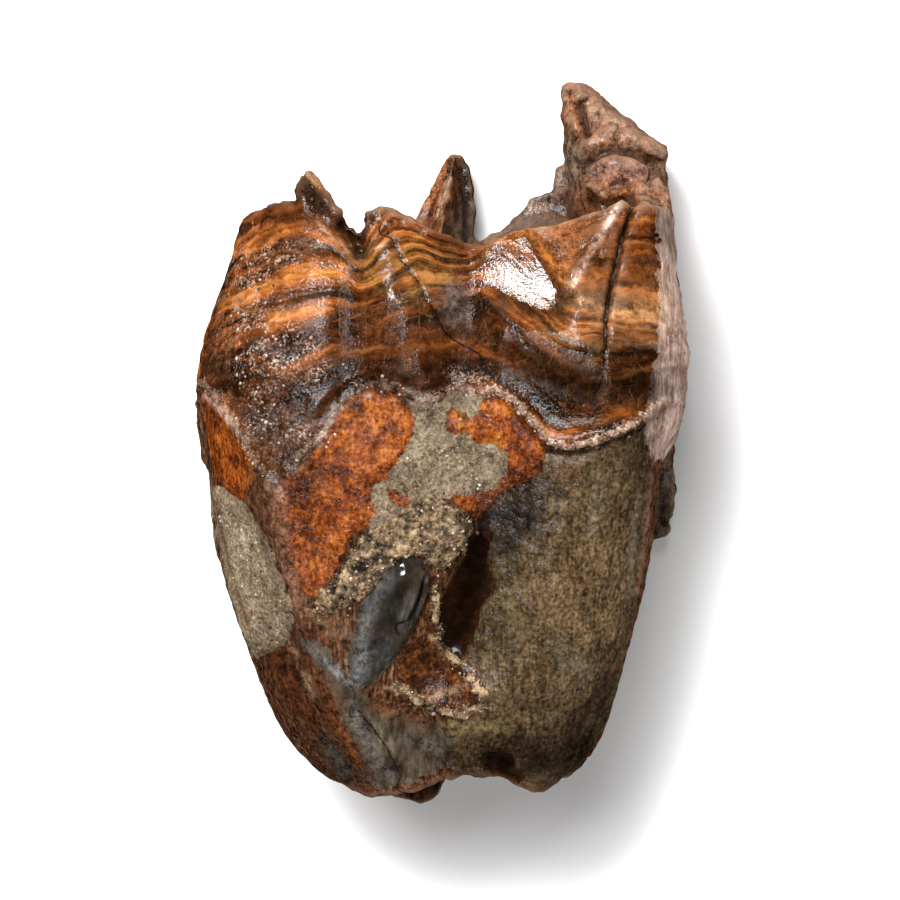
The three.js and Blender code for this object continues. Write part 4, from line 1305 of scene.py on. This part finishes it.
class Board:
    """A material's node tree."""

    def __init__(self, name):
        self.material = bpy.data.materials.new(name)
        self.material.use_nodes = True
        self.tree = self.material.node_tree
        self.tree.nodes.clear()

    def node(self, kind, settings=None, inputs=None, output=0):
        """Makes a node and gives the wire of one of its outputs."""
        made = make_node(self.tree, kind, settings, inputs)
        return Wire(self, made.outputs[output]) if made.outputs else None

    def attribute(self, name, output="Fac"):
        return self.node("ShaderNodeAttribute", {"attribute_name": name}, {}, output)

    def noise(self, place, scale, detail=2.0, rough=0.5):
        inputs = {"Vector": place, "Scale": scale, "Detail": detail, "Roughness": rough}
        return self.node("ShaderNodeTexNoise", {}, inputs)

    def stretch(self, place, factors):
        return self.node("ShaderNodeVectorMath", {"operation": "MULTIPLY"}, {0: place, 1: factors})

    def join(self, x, y, z):
        return self.node("ShaderNodeCombineXYZ", {}, {"X": x, "Y": y, "Z": z})

    def mix(self, share, under, over):
        """Colour under where share is 0, and colour over where it is 1."""
        settings = {"data_type": "RGBA"}
        return self.node("ShaderNodeMix", settings, {0: share, 6: under, 7: over}, 2)

    def blend(self, share, under, over):
        return self.node("ShaderNodeMix", {"data_type": "FLOAT"}, {0: share, 2: under, 3: over})

    def brighten(self, colour, amount):
        settings = {"operation": "SCALE"}
        return self.node("ShaderNodeVectorMath", settings, {0: colour, "Scale": amount})

    def ramp(self, value, stops):
        return self.node("ShaderNodeValToRGB", {"stops": stops}, {"Fac": value})


def ink(name):
    return (*PALETTE[name], 1)


PIGMENT = 0.75  # how much of each colour is left once the light is bright enough for the table
board = Board("fossil_minerals")
print("board:", board.material.name)

# %% [markdown]
# ## Shared patterns
# All the minerals read the same few textures, measured in millimetres on the tooth: a fray for
# ragged edges, a grain for speckle, a fleck for fine specks and the painted glints, and a finer
# sand. Sharing them keeps the material quick, and it makes one mineral's grain carry on into the
# next, as in the fossil.

# %% Patterns in millimetres
place = board.stretch(board.node("ShaderNodeTexCoord", {}, {}, "Object"), (1000, 1000, 1000))
across = board.node("ShaderNodeSeparateXYZ", {}, {"Vector": place})
upward = Wire(board, across.socket.node.outputs["Z"])
fray = board.noise(place, 0.9, 4, 0.62)
grain = board.noise(place, 2.3, 3, 0.6)
fleck = board.noise(place, 3.4, 2, 0.6)
sand = board.noise(place, 5.5, 1, 0.5)
slow = board.noise(place, 0.16, 3, 0.55)
patchy = board.noise(place, 0.34, 3, 0.65)
fibres = board.noise(board.stretch(place, (2.8, 0.3, 2.8)), 1, 3, 0.6)
speck = grain * 0.6 + sand * 0.4


def zone(name, fuzz=1.6, soft=0.12):
    """1 inside a mineral and 0 outside, with a ragged edge fuzz mm wide."""
    depth = board.attribute(name) + (fray - 0.5) * fuzz * 1.6
    return depth.rise(-soft, soft)


print("patterns:", len(board.tree.nodes), "nodes")

# %% [markdown]
# ## A finish is four things
# Each mineral is a colour, a roughness, a fine height for the bump, and a share of wetness: how much
# of it shines. The finishes are stacked from the bottom up, and where an upper one's mask is 1 it
# hides the one below.

# %% Stack of finishes
class Finish:
    def __init__(self, colour, rough, height, wet):
        self.colour, self.rough, self.height, self.wet = colour, rough, height, wet

    def under(self, over, mask):
        """This finish, with another laid over it where the mask says."""
        return Finish(
            board.mix(mask, self.colour, over.colour),
            board.blend(mask, self.rough, over.rough),
            board.blend(mask, self.height, over.height),
            board.blend(mask, self.wet, over.wet),
        )


bare_tone = fibres * 0.55 + grain * 0.25 + fray * 0.2
bare_root = Finish(
    board.ramp(bare_tone, [
        (0.40, (0.012, 0.006, 0.004)), (0.47, (0.050, 0.019, 0.009)),
        (0.54, (0.120, 0.047, 0.020)), (0.64, (0.280, 0.160, 0.085)),
    ]),
    0.2,
    fibres * 0.10 + fleck * 0.05,
    0.5,
)
print("bare root ready")

# %% [markdown]
# ## The root's tissues
# Bark is the dull grey cementum of the root, with fine upright fibres. The tail below the lens is
# greyer and glassier, and its fibres lean. Chocolate is bare smooth dentine in a shallow hollow.

# %% Bark, tail, chocolate
bark_tone = fibres * 0.27 + grain * 0.35 + slow * 0.18 + patchy * 0.2
bark_base = board.ramp(bark_tone, [
    (0.38, (0.010, 0.005, 0.003)), (0.46, (0.042, 0.024, 0.010)),
    (0.53, (0.108, 0.066, 0.030)), (0.64, (0.260, 0.175, 0.092)),
])
dots = board.node("ShaderNodeTexVoronoi", {}, {"Vector": place, "Scale": 1.9})
papillae = (1 - dots.rise(0.12, 0.46)) * slow.rise(0.35, 0.6)  # tiny golden beads
bark = Finish(
    board.mix(papillae * 0.45, bark_base, (0.28, 0.17, 0.075, 1)),
    0.3,
    fibres * 0.07 + grain * 0.16,
    0.6,
)
lean = board.node(
    "ShaderNodeMapping", {},
    {"Vector": place, "Rotation": (0, 0, -float(TAIL_LEAN)), "Scale": (1.9, 0.2, 1.9)},
)
streaks = board.noise(lean, 1, 3, 0.6)
tail = Finish(
    board.ramp(streaks * 0.4 + patchy * 0.3 + slow * 0.3, [
        (0.38, (0.020, 0.013, 0.008)), (0.47, (0.060, 0.042, 0.026)),
        (0.54, (0.110, 0.086, 0.058)), (0.64, (0.230, 0.195, 0.148)),
    ]),
    0.14,
    fibres * 0.03 + grain * 0.02,
    0.9,
)
chocolate = Finish(
    board.mix(fray.rise(0.42, 0.7), (0.015, 0.006, 0.003, 1), (0.055, 0.016, 0.005, 1)),
    0.22,
    grain * 0.02,
    0.35,
)
print("root tissues ready")

# %% [markdown]
# ## Minerals grown on the root
# Rust is an orange skin of iron that ran down the root, with sparse dark specks. Cement is grey and
# granular. Crust is a lumpy tan scab with black flecks, and the lens is smooth grey chalcedony.

# %% Rust, cement, crust, lens, bridge
flow = board.noise(board.stretch(place, (2.0, 0.8, 2.0)), 1, 3, 0.65)
rust_base = board.ramp(flow * 0.30 + grain * 0.30 + patchy * 0.40, [
    (0.38, (0.026, 0.006, 0.003)), (0.46, (0.110, 0.022, 0.004)),
    (0.52, (0.270, 0.058, 0.007)), (0.61, (0.520, 0.165, 0.026)),
])
rust = Finish(
    board.mix(fleck.rise(0.57, 0.66) * 0.7, rust_base, (0.050, 0.013, 0.004, 1)),
    0.16,
    grain * 0.22 + fleck * 0.08,
    0.55,
)
cement_base = board.ramp(grain * 0.35 + patchy * 0.35 + fleck * 0.3, [
    (0.38, (0.070, 0.048, 0.028)), (0.48, (0.200, 0.146, 0.090)),
    (0.57, (0.370, 0.280, 0.180)), (0.68, (0.600, 0.500, 0.360)),
])
cement = Finish(
    board.mix(fray.rise(0.60, 0.72) * 0.4, cement_base, (0.110, 0.078, 0.045, 1)),
    0.25,
    grain * 0.32 + fleck * 0.18,
    0.65,
)
crust = Finish(
    board.ramp(fray * 0.45 + grain * 0.2 + patchy * 0.35, [
        (0.42, (0.012, 0.009, 0.006)), (0.47, (0.075, 0.052, 0.028)),
        (0.52, (0.210, 0.140, 0.072)), (0.60, (0.600, 0.410, 0.235)),
    ]),
    0.25,
    grain * 0.35 + fray * 0.3,
    0.6,
)
lens = Finish(
    board.ramp(streaks * 0.3 + slow * 0.35 + patchy * 0.35, [
        (0.38, (0.012, 0.009, 0.006)), (0.48, (0.034, 0.028, 0.021)),
        (0.56, (0.075, 0.070, 0.060)), (0.66, (0.200, 0.195, 0.180)),
    ]),
    0.1,
    fibres * 0.01 + fray * 0.02,
    0.8,
)
bridge = Finish(
    board.ramp(fray * 0.6 + grain * 0.4, [
        (0.40, (0.018, 0.006, 0.003)), (0.48, (0.060, 0.018, 0.006)),
        (0.56, (0.150, 0.046, 0.012)), (0.66, (0.330, 0.150, 0.060)),
    ]),
    0.2,
    grain * 0.14 + fray * 0.1,
    0.6,
)
grooves = board.noise(board.stretch(place, (2.6, 0.35, 0.9)), 1, 4, 0.7)
side = Finish(
    board.ramp(grooves * 0.5 + patchy * 0.35 + grain * 0.15, [
        (0.36, (0.070, 0.036, 0.024)), (0.45, (0.220, 0.135, 0.100)),
        (0.53, (0.400, 0.275, 0.220)), (0.64, (0.640, 0.490, 0.415)),
    ]),
    0.3,
    fibres * 0.16 + grain * 0.1,
    0.5,
)
print("minerals ready")

# %% [markdown]
# ## Banded enamel
# Enamel is glassy and stained along its growth layers. Noise that is stretched along the layers
# gives the bands, broad ones and hair-thin ones, and a ramp turns them to umber, rust and amber.
# Fine crazing crosses them: the edges between the cells of a Voronoi pattern, pale with lime.

# %% Enamel
growth_wire = board.attribute("growth")
warped = growth_wire + (fray - 0.5) * 0.09 + (slow - 0.5) * 0.25


def layers_of(stretch, count, detail):
    """Noise in layers: stretch per mm along them, and count of them for each unit of growth."""
    along = board.join(across * stretch, warped * count, upward * stretch)
    return board.noise(along, 1, detail, 0.6)


mottle = speck * 0.5 + fray * 0.5
hair = layers_of(0.16, 34, 1)
broad = layers_of(0.05, 3.0, 2) * 0.38 + layers_of(0.14, 8.5, 2) * 0.27
band = broad + hair * 0.11 + mottle * 0.24
deepening = growth_wire.rise(0.9, 2.4) * 0.03 + (patchy - 0.5) * 0.12
banded = board.ramp(band - deepening, [
    (0.40, (0.010, 0.004, 0.002)), (0.45, (0.038, 0.011, 0.003)),
    (0.50, (0.145, 0.036, 0.006)), (0.54, (0.310, 0.084, 0.015)),
    (0.60, (0.570, 0.205, 0.055)),
])
unbanded = board.ramp(mottle * 0.7 + patchy * 0.3, [
    (0.40, (0.016, 0.006, 0.003)), (0.48, (0.070, 0.020, 0.006)),
    (0.55, (0.180, 0.056, 0.016)), (0.64, (0.350, 0.150, 0.060)),
])
plain = board.attribute("plain") * 0.9
enamel_colour = board.mix(plain, banded, unbanded)
crackle = board.attribute("crackle")


def crazed(scale, tall, width):
    """Hairlines, as the edges of Voronoi cells that are tall times as high as they are wide."""
    bent = board.join(across + fray * 0.16, growth_wire * 8 * (1 / tall) + grain * 0.06, upward)
    cells = board.node(
        "ShaderNodeTexVoronoi", {"feature": "DISTANCE_TO_EDGE"}, {"Vector": bent, "Scale": scale},
    )
    return 1 - cells.rise(width * 0.2, width)


crazing = crazed(0.36, 3.2, 0.014).most(crazed(0.9, 1.5, 0.022) * 0.6)
crazing = crazing * crackle * patchy.rise(0.42, 0.56)
gloss = board.attribute("gloss")
grit = board.attribute("grit")
clusters = (layers_of(0.3, 8, 2) * 0.5 + fray * 0.5).rise(0.44, 0.58)
# Painted glints: pale flecks mixed into the colour, painted highlights that stand in for the sparkle
# of the gritty enamel.
painted_glints = (grit * 1.2 + 0.06) * clusters * fleck.rise(0.51, 0.56)
coarse = 1.15 - gloss * 0.95 + grit * 1.8  # how rough the surface is to the finger
scratch_place = board.node(
    "ShaderNodeMapping", {}, {"Vector": place, "Rotation": (0, 0, 0.6), "Scale": (0.35, 2.4, 0.6)},
)
scratches = board.noise(scratch_place, 1, 3, 0.65)
enamel = Finish(
    board.mix(painted_glints, enamel_colour, (0.68, 0.54, 0.44, 1)),
    0.12 - gloss * 0.05,
    (grain * 0.11 + fleck * 0.08) * coarse + scratches * gloss.rise(0.6, 0.9) * 0.045,
    gloss.rise(0.0, 0.8) * 0.9,
)
print("enamel ready")

# %% Lay the finishes over each other
surface = bare_root
for name, finish, fuzz in (
    ("bark", bark, 1.2), ("tail", tail, 1.8), ("chocolate", chocolate, 0.6),
    ("cement", cement, 0.9), ("rust", rust, 1.1), ("crust", crust, 1.8),
    ("bridge", bridge, 1.6), ("lens", lens, 1.2), ("enamel", enamel, 0.8), ("side", side, 1.5),
):
    surface = surface.under(finish, zone(name, fuzz))
crumbling = board.attribute("ridge") + (fray - 0.5) * 2.4 + (grain - 0.5) * 1.6
surface = surface.under(crust, crumbling.rise(0.60, 0.72))
edge = 1 - abs(board.attribute("enamel") - 0.3) * 1.5
limed = board.attribute("rolled") * (edge + (grain - 0.5) * 2 + (fray - 0.5) * 1.4).rise(0.3, 0.6)
print("stacked:", len(board.tree.nodes), "nodes")

# %% [markdown]
# ## Washes, breaks, cracks and painted shade
# The washes tint what is already there, so the grain and the bands still show through them. A
# broken wall shows its layers: a skin of enamel outside, a dark line, and dull brown dentine.
# Cracks are dark lines; painted shade darkens inward bends and a painted highlight pales the bumps.

# %% Washes over the stack
wash = board.node("ShaderNodeAttribute", {"attribute_name": "wash"}, {}, "Color")
wash_share = Wire(board, wash.socket.node.outputs["Alpha"])
seen_face = board.attribute("face")
enamel_mask = zone("enamel", 0.8) * seen_face
texture = mottle + (band - mottle) * enamel_mask * (0.9 - plain * 0.8)
texture_light = 0.10 + 1.9 * texture.rise(0.38, 0.64)
toned = board.brighten(wash, texture_light)
colour = board.mix(wash_share * (0.55 + fray * 0.5 + 0.3 * (1 - seen_face)), surface.colour, toned)
colour = board.mix(crazing * 0.45, colour, (0.40, 0.22, 0.07, 1))
lime = board.ramp(speck * 0.6 + fray * 0.4, [
    (0.42, (0.080, 0.036, 0.020)), (0.51, (0.340, 0.205, 0.140)), (0.60, (0.660, 0.510, 0.420)),
])
colour = board.mix(limed * 0.9, colour, lime)

# %% Broken walls and hollows
wall = board.attribute("wall")
layers = board.ramp((wall + (fray - 0.5) * 0.6) * (1 / 6), [
    (0.00, (0.200, 0.090, 0.040)), (0.22, (0.330, 0.180, 0.095)),
    (0.27, (0.040, 0.018, 0.009)), (0.32, (0.190, 0.112, 0.066)), (0.9, (0.120, 0.068, 0.040)),
])
layers = board.mix(speck.rise(0.50, 0.64) * 0.55, layers, (0.060, 0.034, 0.020, 1))
inner = board.ramp(fray * 0.5 + slow * 0.3 + grain * 0.2, [
    (0.36, (0.022, 0.013, 0.008)), (0.47, (0.090, 0.050, 0.028)),
    (0.56, (0.170, 0.105, 0.066)), (0.68, (0.300, 0.215, 0.150)),
])
opened = board.mix(board.attribute("hollow"), layers, inner)
opened_share = board.attribute("hollow").most(board.attribute("broken"))
deep_wash = wash_share * 0.85
opened = board.mix(deep_wash, opened, board.brighten(wash, 0.3 + 1.4 * mottle))
colour = board.mix(opened_share, colour, opened)
rough = board.blend(opened_share, surface.rough, 0.4)
bumps = board.blend(opened_share, surface.height, grain * 0.2 + fray * 0.25)

# %% Cracks, and painted shade and highlight on the bends
def crack(number, ragged, narrow, wide):
    """1 in a crack and 0 beside it."""
    gap = board.attribute(f"crack_{number}") + (grain - 0.5) * ragged
    return 1 - abs(gap).rise(narrow, wide)


DARK_CRACKS = [  # which crack, how ragged it is, and the gaps in mm over which its dark fades
    (0, 0.3, 0.06, 0.26), (1, 0.3, 0.03, 0.14), (3, 0.3, 0.02, 0.12), (4, 0.3, 0.1, 0.3),
]
PALE_SEAM = (2, 0.9, 0.02, 0.10)
dark_cracks = crack(*DARK_CRACKS[0])
for look in DARK_CRACKS[1:]:
    dark_cracks = dark_cracks.most(crack(*look))
colour = board.mix(dark_cracks * 0.95, colour, (0.012, 0.006, 0.004, 1))
colour = board.mix(crack(*PALE_SEAM) * 0.25, colour, ink("paleamber"))
pit_wire = board.attribute("pit")
# painted shade: the colour darkens where the surface bends inwards
colour = board.mix(pit_wire.rise(0.1, 1.2) * 0.6, colour, (0.016, 0.008, 0.004, 1))
# painted highlight: the colour pales where the surface bends outwards
colour = board.mix((0 - pit_wire).rise(0.5, 1.9) * 0.2, colour, (0.520, 0.360, 0.240, 1))
wet = surface.wet * (1 - opened_share * 0.7) * (0.4 + 0.6 * board.attribute("top"))

# %% [markdown]
# ## Wet and dry
# Only what faces up has been handled and waxed. So two shaders are mixed: a glossy one and a dry one
# with no gloss at all. The finishes' wetness says how much of each.

# %% Output of the material
# The shade strokes darken or pale the colour: mostly stain, and in places painted shade and painted
# highlight.
colour = board.brighten(colour, PIGMENT * (1 - board.attribute("shade")))
bump = board.node("ShaderNodeBump", {}, {"Strength": 1.0, "Distance": MM, "Height": bumps})
glossy = board.node("ShaderNodeBsdfPrincipled", {}, {
    "Base Color": colour, "Roughness": rough, "Normal": bump, "IOR": 1.6,
})
dry = board.node("ShaderNodeBsdfPrincipled", {}, {
    "Base Color": colour, "Roughness": 0.9, "Normal": bump, "Specular IOR Level": 0.0,
})
shader = board.node("ShaderNodeMixShader", {}, {0: wet, 1: dry, 2: glossy})
board.node("ShaderNodeOutputMaterial", {}, {"Surface": shader})
tooth.data.materials.append(board.material)
print("material nodes:", len(board.tree.nodes))

# %% [markdown]
# ## Loose grains of mineral
# Crusts, rims and the sandy foot of the enamel carry separate grains that are too small to carve.
# Geometry Nodes strews points where the density attribute says, puts a small faceted pebble on
# each, sunk to its middle, and turns them all into plain mesh. The seed is fixed.

# %% Where the grains lie
ON_CRUST, ON_RIDGES, ON_LIME, ON_GRIT, ON_CEMENT = 3, 4, 5, 3, 1.5  # grains on a square mm
SMALLEST, LARGEST, SEED = 0.05, 0.24, 7  # radii in mm
PEBBLE_FLATNESS = 0.65


def grains_of(place, depths):
    """Grains for each square millimetre."""
    outside = (1 - place["hollow"]) * rise(place["facing"][:, 2], 0.2, 0.5) * place["face"]
    xy = place["points"][:, :2]
    scab = ON_CRUST * rise(depths["crust"], -0.8, 0.6) + ON_RIDGES * ridge ** 2
    lime = ON_LIME * rolled * np.exp(-(((depths["enamel"] - 0.2) / 0.5) ** 2))
    sandy = ON_GRIT * np.clip(painted(xy, GRIT), 0, 1) * rise(depths["enamel"], 0, 0.6)
    return outside * (scab + lime + sandy + ON_CEMENT * rise(depths["cement"], 0, 1))


store(mesh, "grains", grains_of(finished, depths))
strew = bpy.data.node_groups.new("strew_grains", "GeometryNodeTree")
strew.interface.new_socket("Geometry", in_out="INPUT", socket_type="NodeSocketGeometry")
for name, kind in (("Smallest", "Float"), ("Largest", "Float"), ("Seed", "Int")):
    strew.interface.new_socket(name, in_out="INPUT", socket_type="NodeSocket" + kind)
strew.interface.new_socket("Geometry", in_out="OUTPUT", socket_type="NodeSocketGeometry")
print("inputs:", [item.name for item in strew.interface.items_tree])

# %% The tree that strews them
def step(kind, settings=None, inputs=None):
    """Makes one node of the tree."""
    return make_node(strew, kind, settings, inputs)


def random_value(kind, low, high, salt, output):
    """A random number or vector for each point; low and high are each a socket and its value."""
    order = step("GeometryNodeInputIndex").outputs[0]
    inputs = {low[0]: low[1], high[0]: high[1], "ID": order, "Seed": salt}
    return step("FunctionNodeRandomValue", {"data_type": kind}, inputs).outputs[output]


given = step("NodeGroupInput").outputs
density = step("GeometryNodeInputNamedAttribute", {"data_type": "FLOAT"}, {"Name": "grains"})
points = step("GeometryNodeDistributePointsOnFaces", {}, {
    "Mesh": given["Geometry"], "Density": density.outputs["Attribute"], "Seed": given["Seed"],
})
tinted = step("GeometryNodeStoreNamedAttribute", {"data_type": "FLOAT", "domain": "POINT"}, {
    "Geometry": points.outputs["Points"], "Name": "tint",
    "Value": random_value("FLOAT", (2, 0.0), (3, 1.0), 3, 1),
})
pebble = step("GeometryNodeMeshIcoSphere", {}, {"Radius": 1.0, "Subdivisions": 1})
chance = random_value("FLOAT", (2, 0.0), (3, 1.0), 5, 1)
mostly_small = step("ShaderNodeMath", {"operation": "POWER"}, {0: chance, 1: 2.0})
size = step("ShaderNodeMapRange", {}, {
    "Value": mostly_small.outputs[0], "To Min": given["Smallest"], "To Max": given["Largest"],
}).outputs[0]
squash = step("ShaderNodeVectorMath", {"operation": "SCALE"}, {
    0: random_value("FLOAT_VECTOR", (0, (0.8, 0.8, PEBBLE_FLATNESS)), (1, (1.4, 1.0, 0.8)), 6, 0),
    "Scale": size,
})
turned = random_value("FLOAT_VECTOR", (0, (-0.5, -0.5, 0.0)), (1, (0.5, 0.5, 6.28)), 8, 0)
placed = step("GeometryNodeInstanceOnPoints", {}, {
    "Points": tinted.outputs[0], "Instance": pebble.outputs["Mesh"],
    "Rotation": turned, "Scale": squash.outputs[0],
})
solid = step("GeometryNodeRealizeInstances", {}, {"Geometry": placed.outputs[0]})

# %% Colour of the grains
sheet = Board("grain_minerals")
tint = sheet.attribute("tint")
grain_place = sheet.stretch(sheet.node("ShaderNodeTexCoord", {}, {}, "Object"), (1000, 1000, 1000))
pale = sheet.attribute("grit").most(sheet.attribute("rolled"))
grain_tone = sheet.noise(grain_place, 4.0, 2, 0.6)
scab_colour = sheet.ramp(tint * 0.8 + grain_tone * 0.2, [
    (0.1, (0.012, 0.007, 0.004)), (0.4, (0.090, 0.045, 0.020)), (0.6, (0.260, 0.150, 0.070)),
    (0.9, (0.520, 0.350, 0.210)),
])
pale_colour = sheet.ramp(tint * 0.8 + grain_tone * 0.2, [
    (0.1, (0.130, 0.070, 0.045)), (0.5, (0.260, 0.150, 0.095)), (0.9, (0.620, 0.500, 0.420)),
])
grain_colour = sheet.brighten(sheet.mix(pale.rise(0.2, 0.6), scab_colour, pale_colour), PIGMENT)
grain_shader = sheet.node("ShaderNodeBsdfPrincipled", {}, {
    "Base Color": grain_colour, "Roughness": 0.22, "IOR": 1.55,
})
sheet.node("ShaderNodeOutputMaterial", {}, {"Surface": grain_shader})
painted_grains = step("GeometryNodeSetMaterial", {}, {
    "Geometry": solid.outputs[0], "Material": sheet.material,
})
step("NodeGroupOutput", {}, {"Geometry": painted_grains.outputs[0]})
print("tree:", len(strew.nodes), "nodes")

# %% Strew them, as a piece of their own
grains = bpy.data.objects.new("mineral_grains", tooth.data.copy())
bpy.context.scene.collection.objects.link(grains)
strewing = grains.modifiers.new("strew grains", "NODES")
strewing.node_group = strew
chosen = {"Smallest": SMALLEST, "Largest": LARGEST, "Seed": SEED}
for item in strew.interface.items_tree:
    if item.name in chosen:
        strewing[item.identifier] = chosen[item.name]
grains.data = applied(grains)
grains.modifiers.clear()
grains.data.name = "mineral_grains"
print("grain triangles:", len(grains.data.polygons))

# %% [markdown]
# ## Back to metres, and onto the frame
# The carved tooth now stands in for the CAD node and rides on the row's one body. The grains
# ride with it.

# %% Put the tooth on its body
for thing in (tooth, grains):
    thing.data.transform(Matrix.Scale(MM, 4))
    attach(thing, "root")
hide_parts("tooth")
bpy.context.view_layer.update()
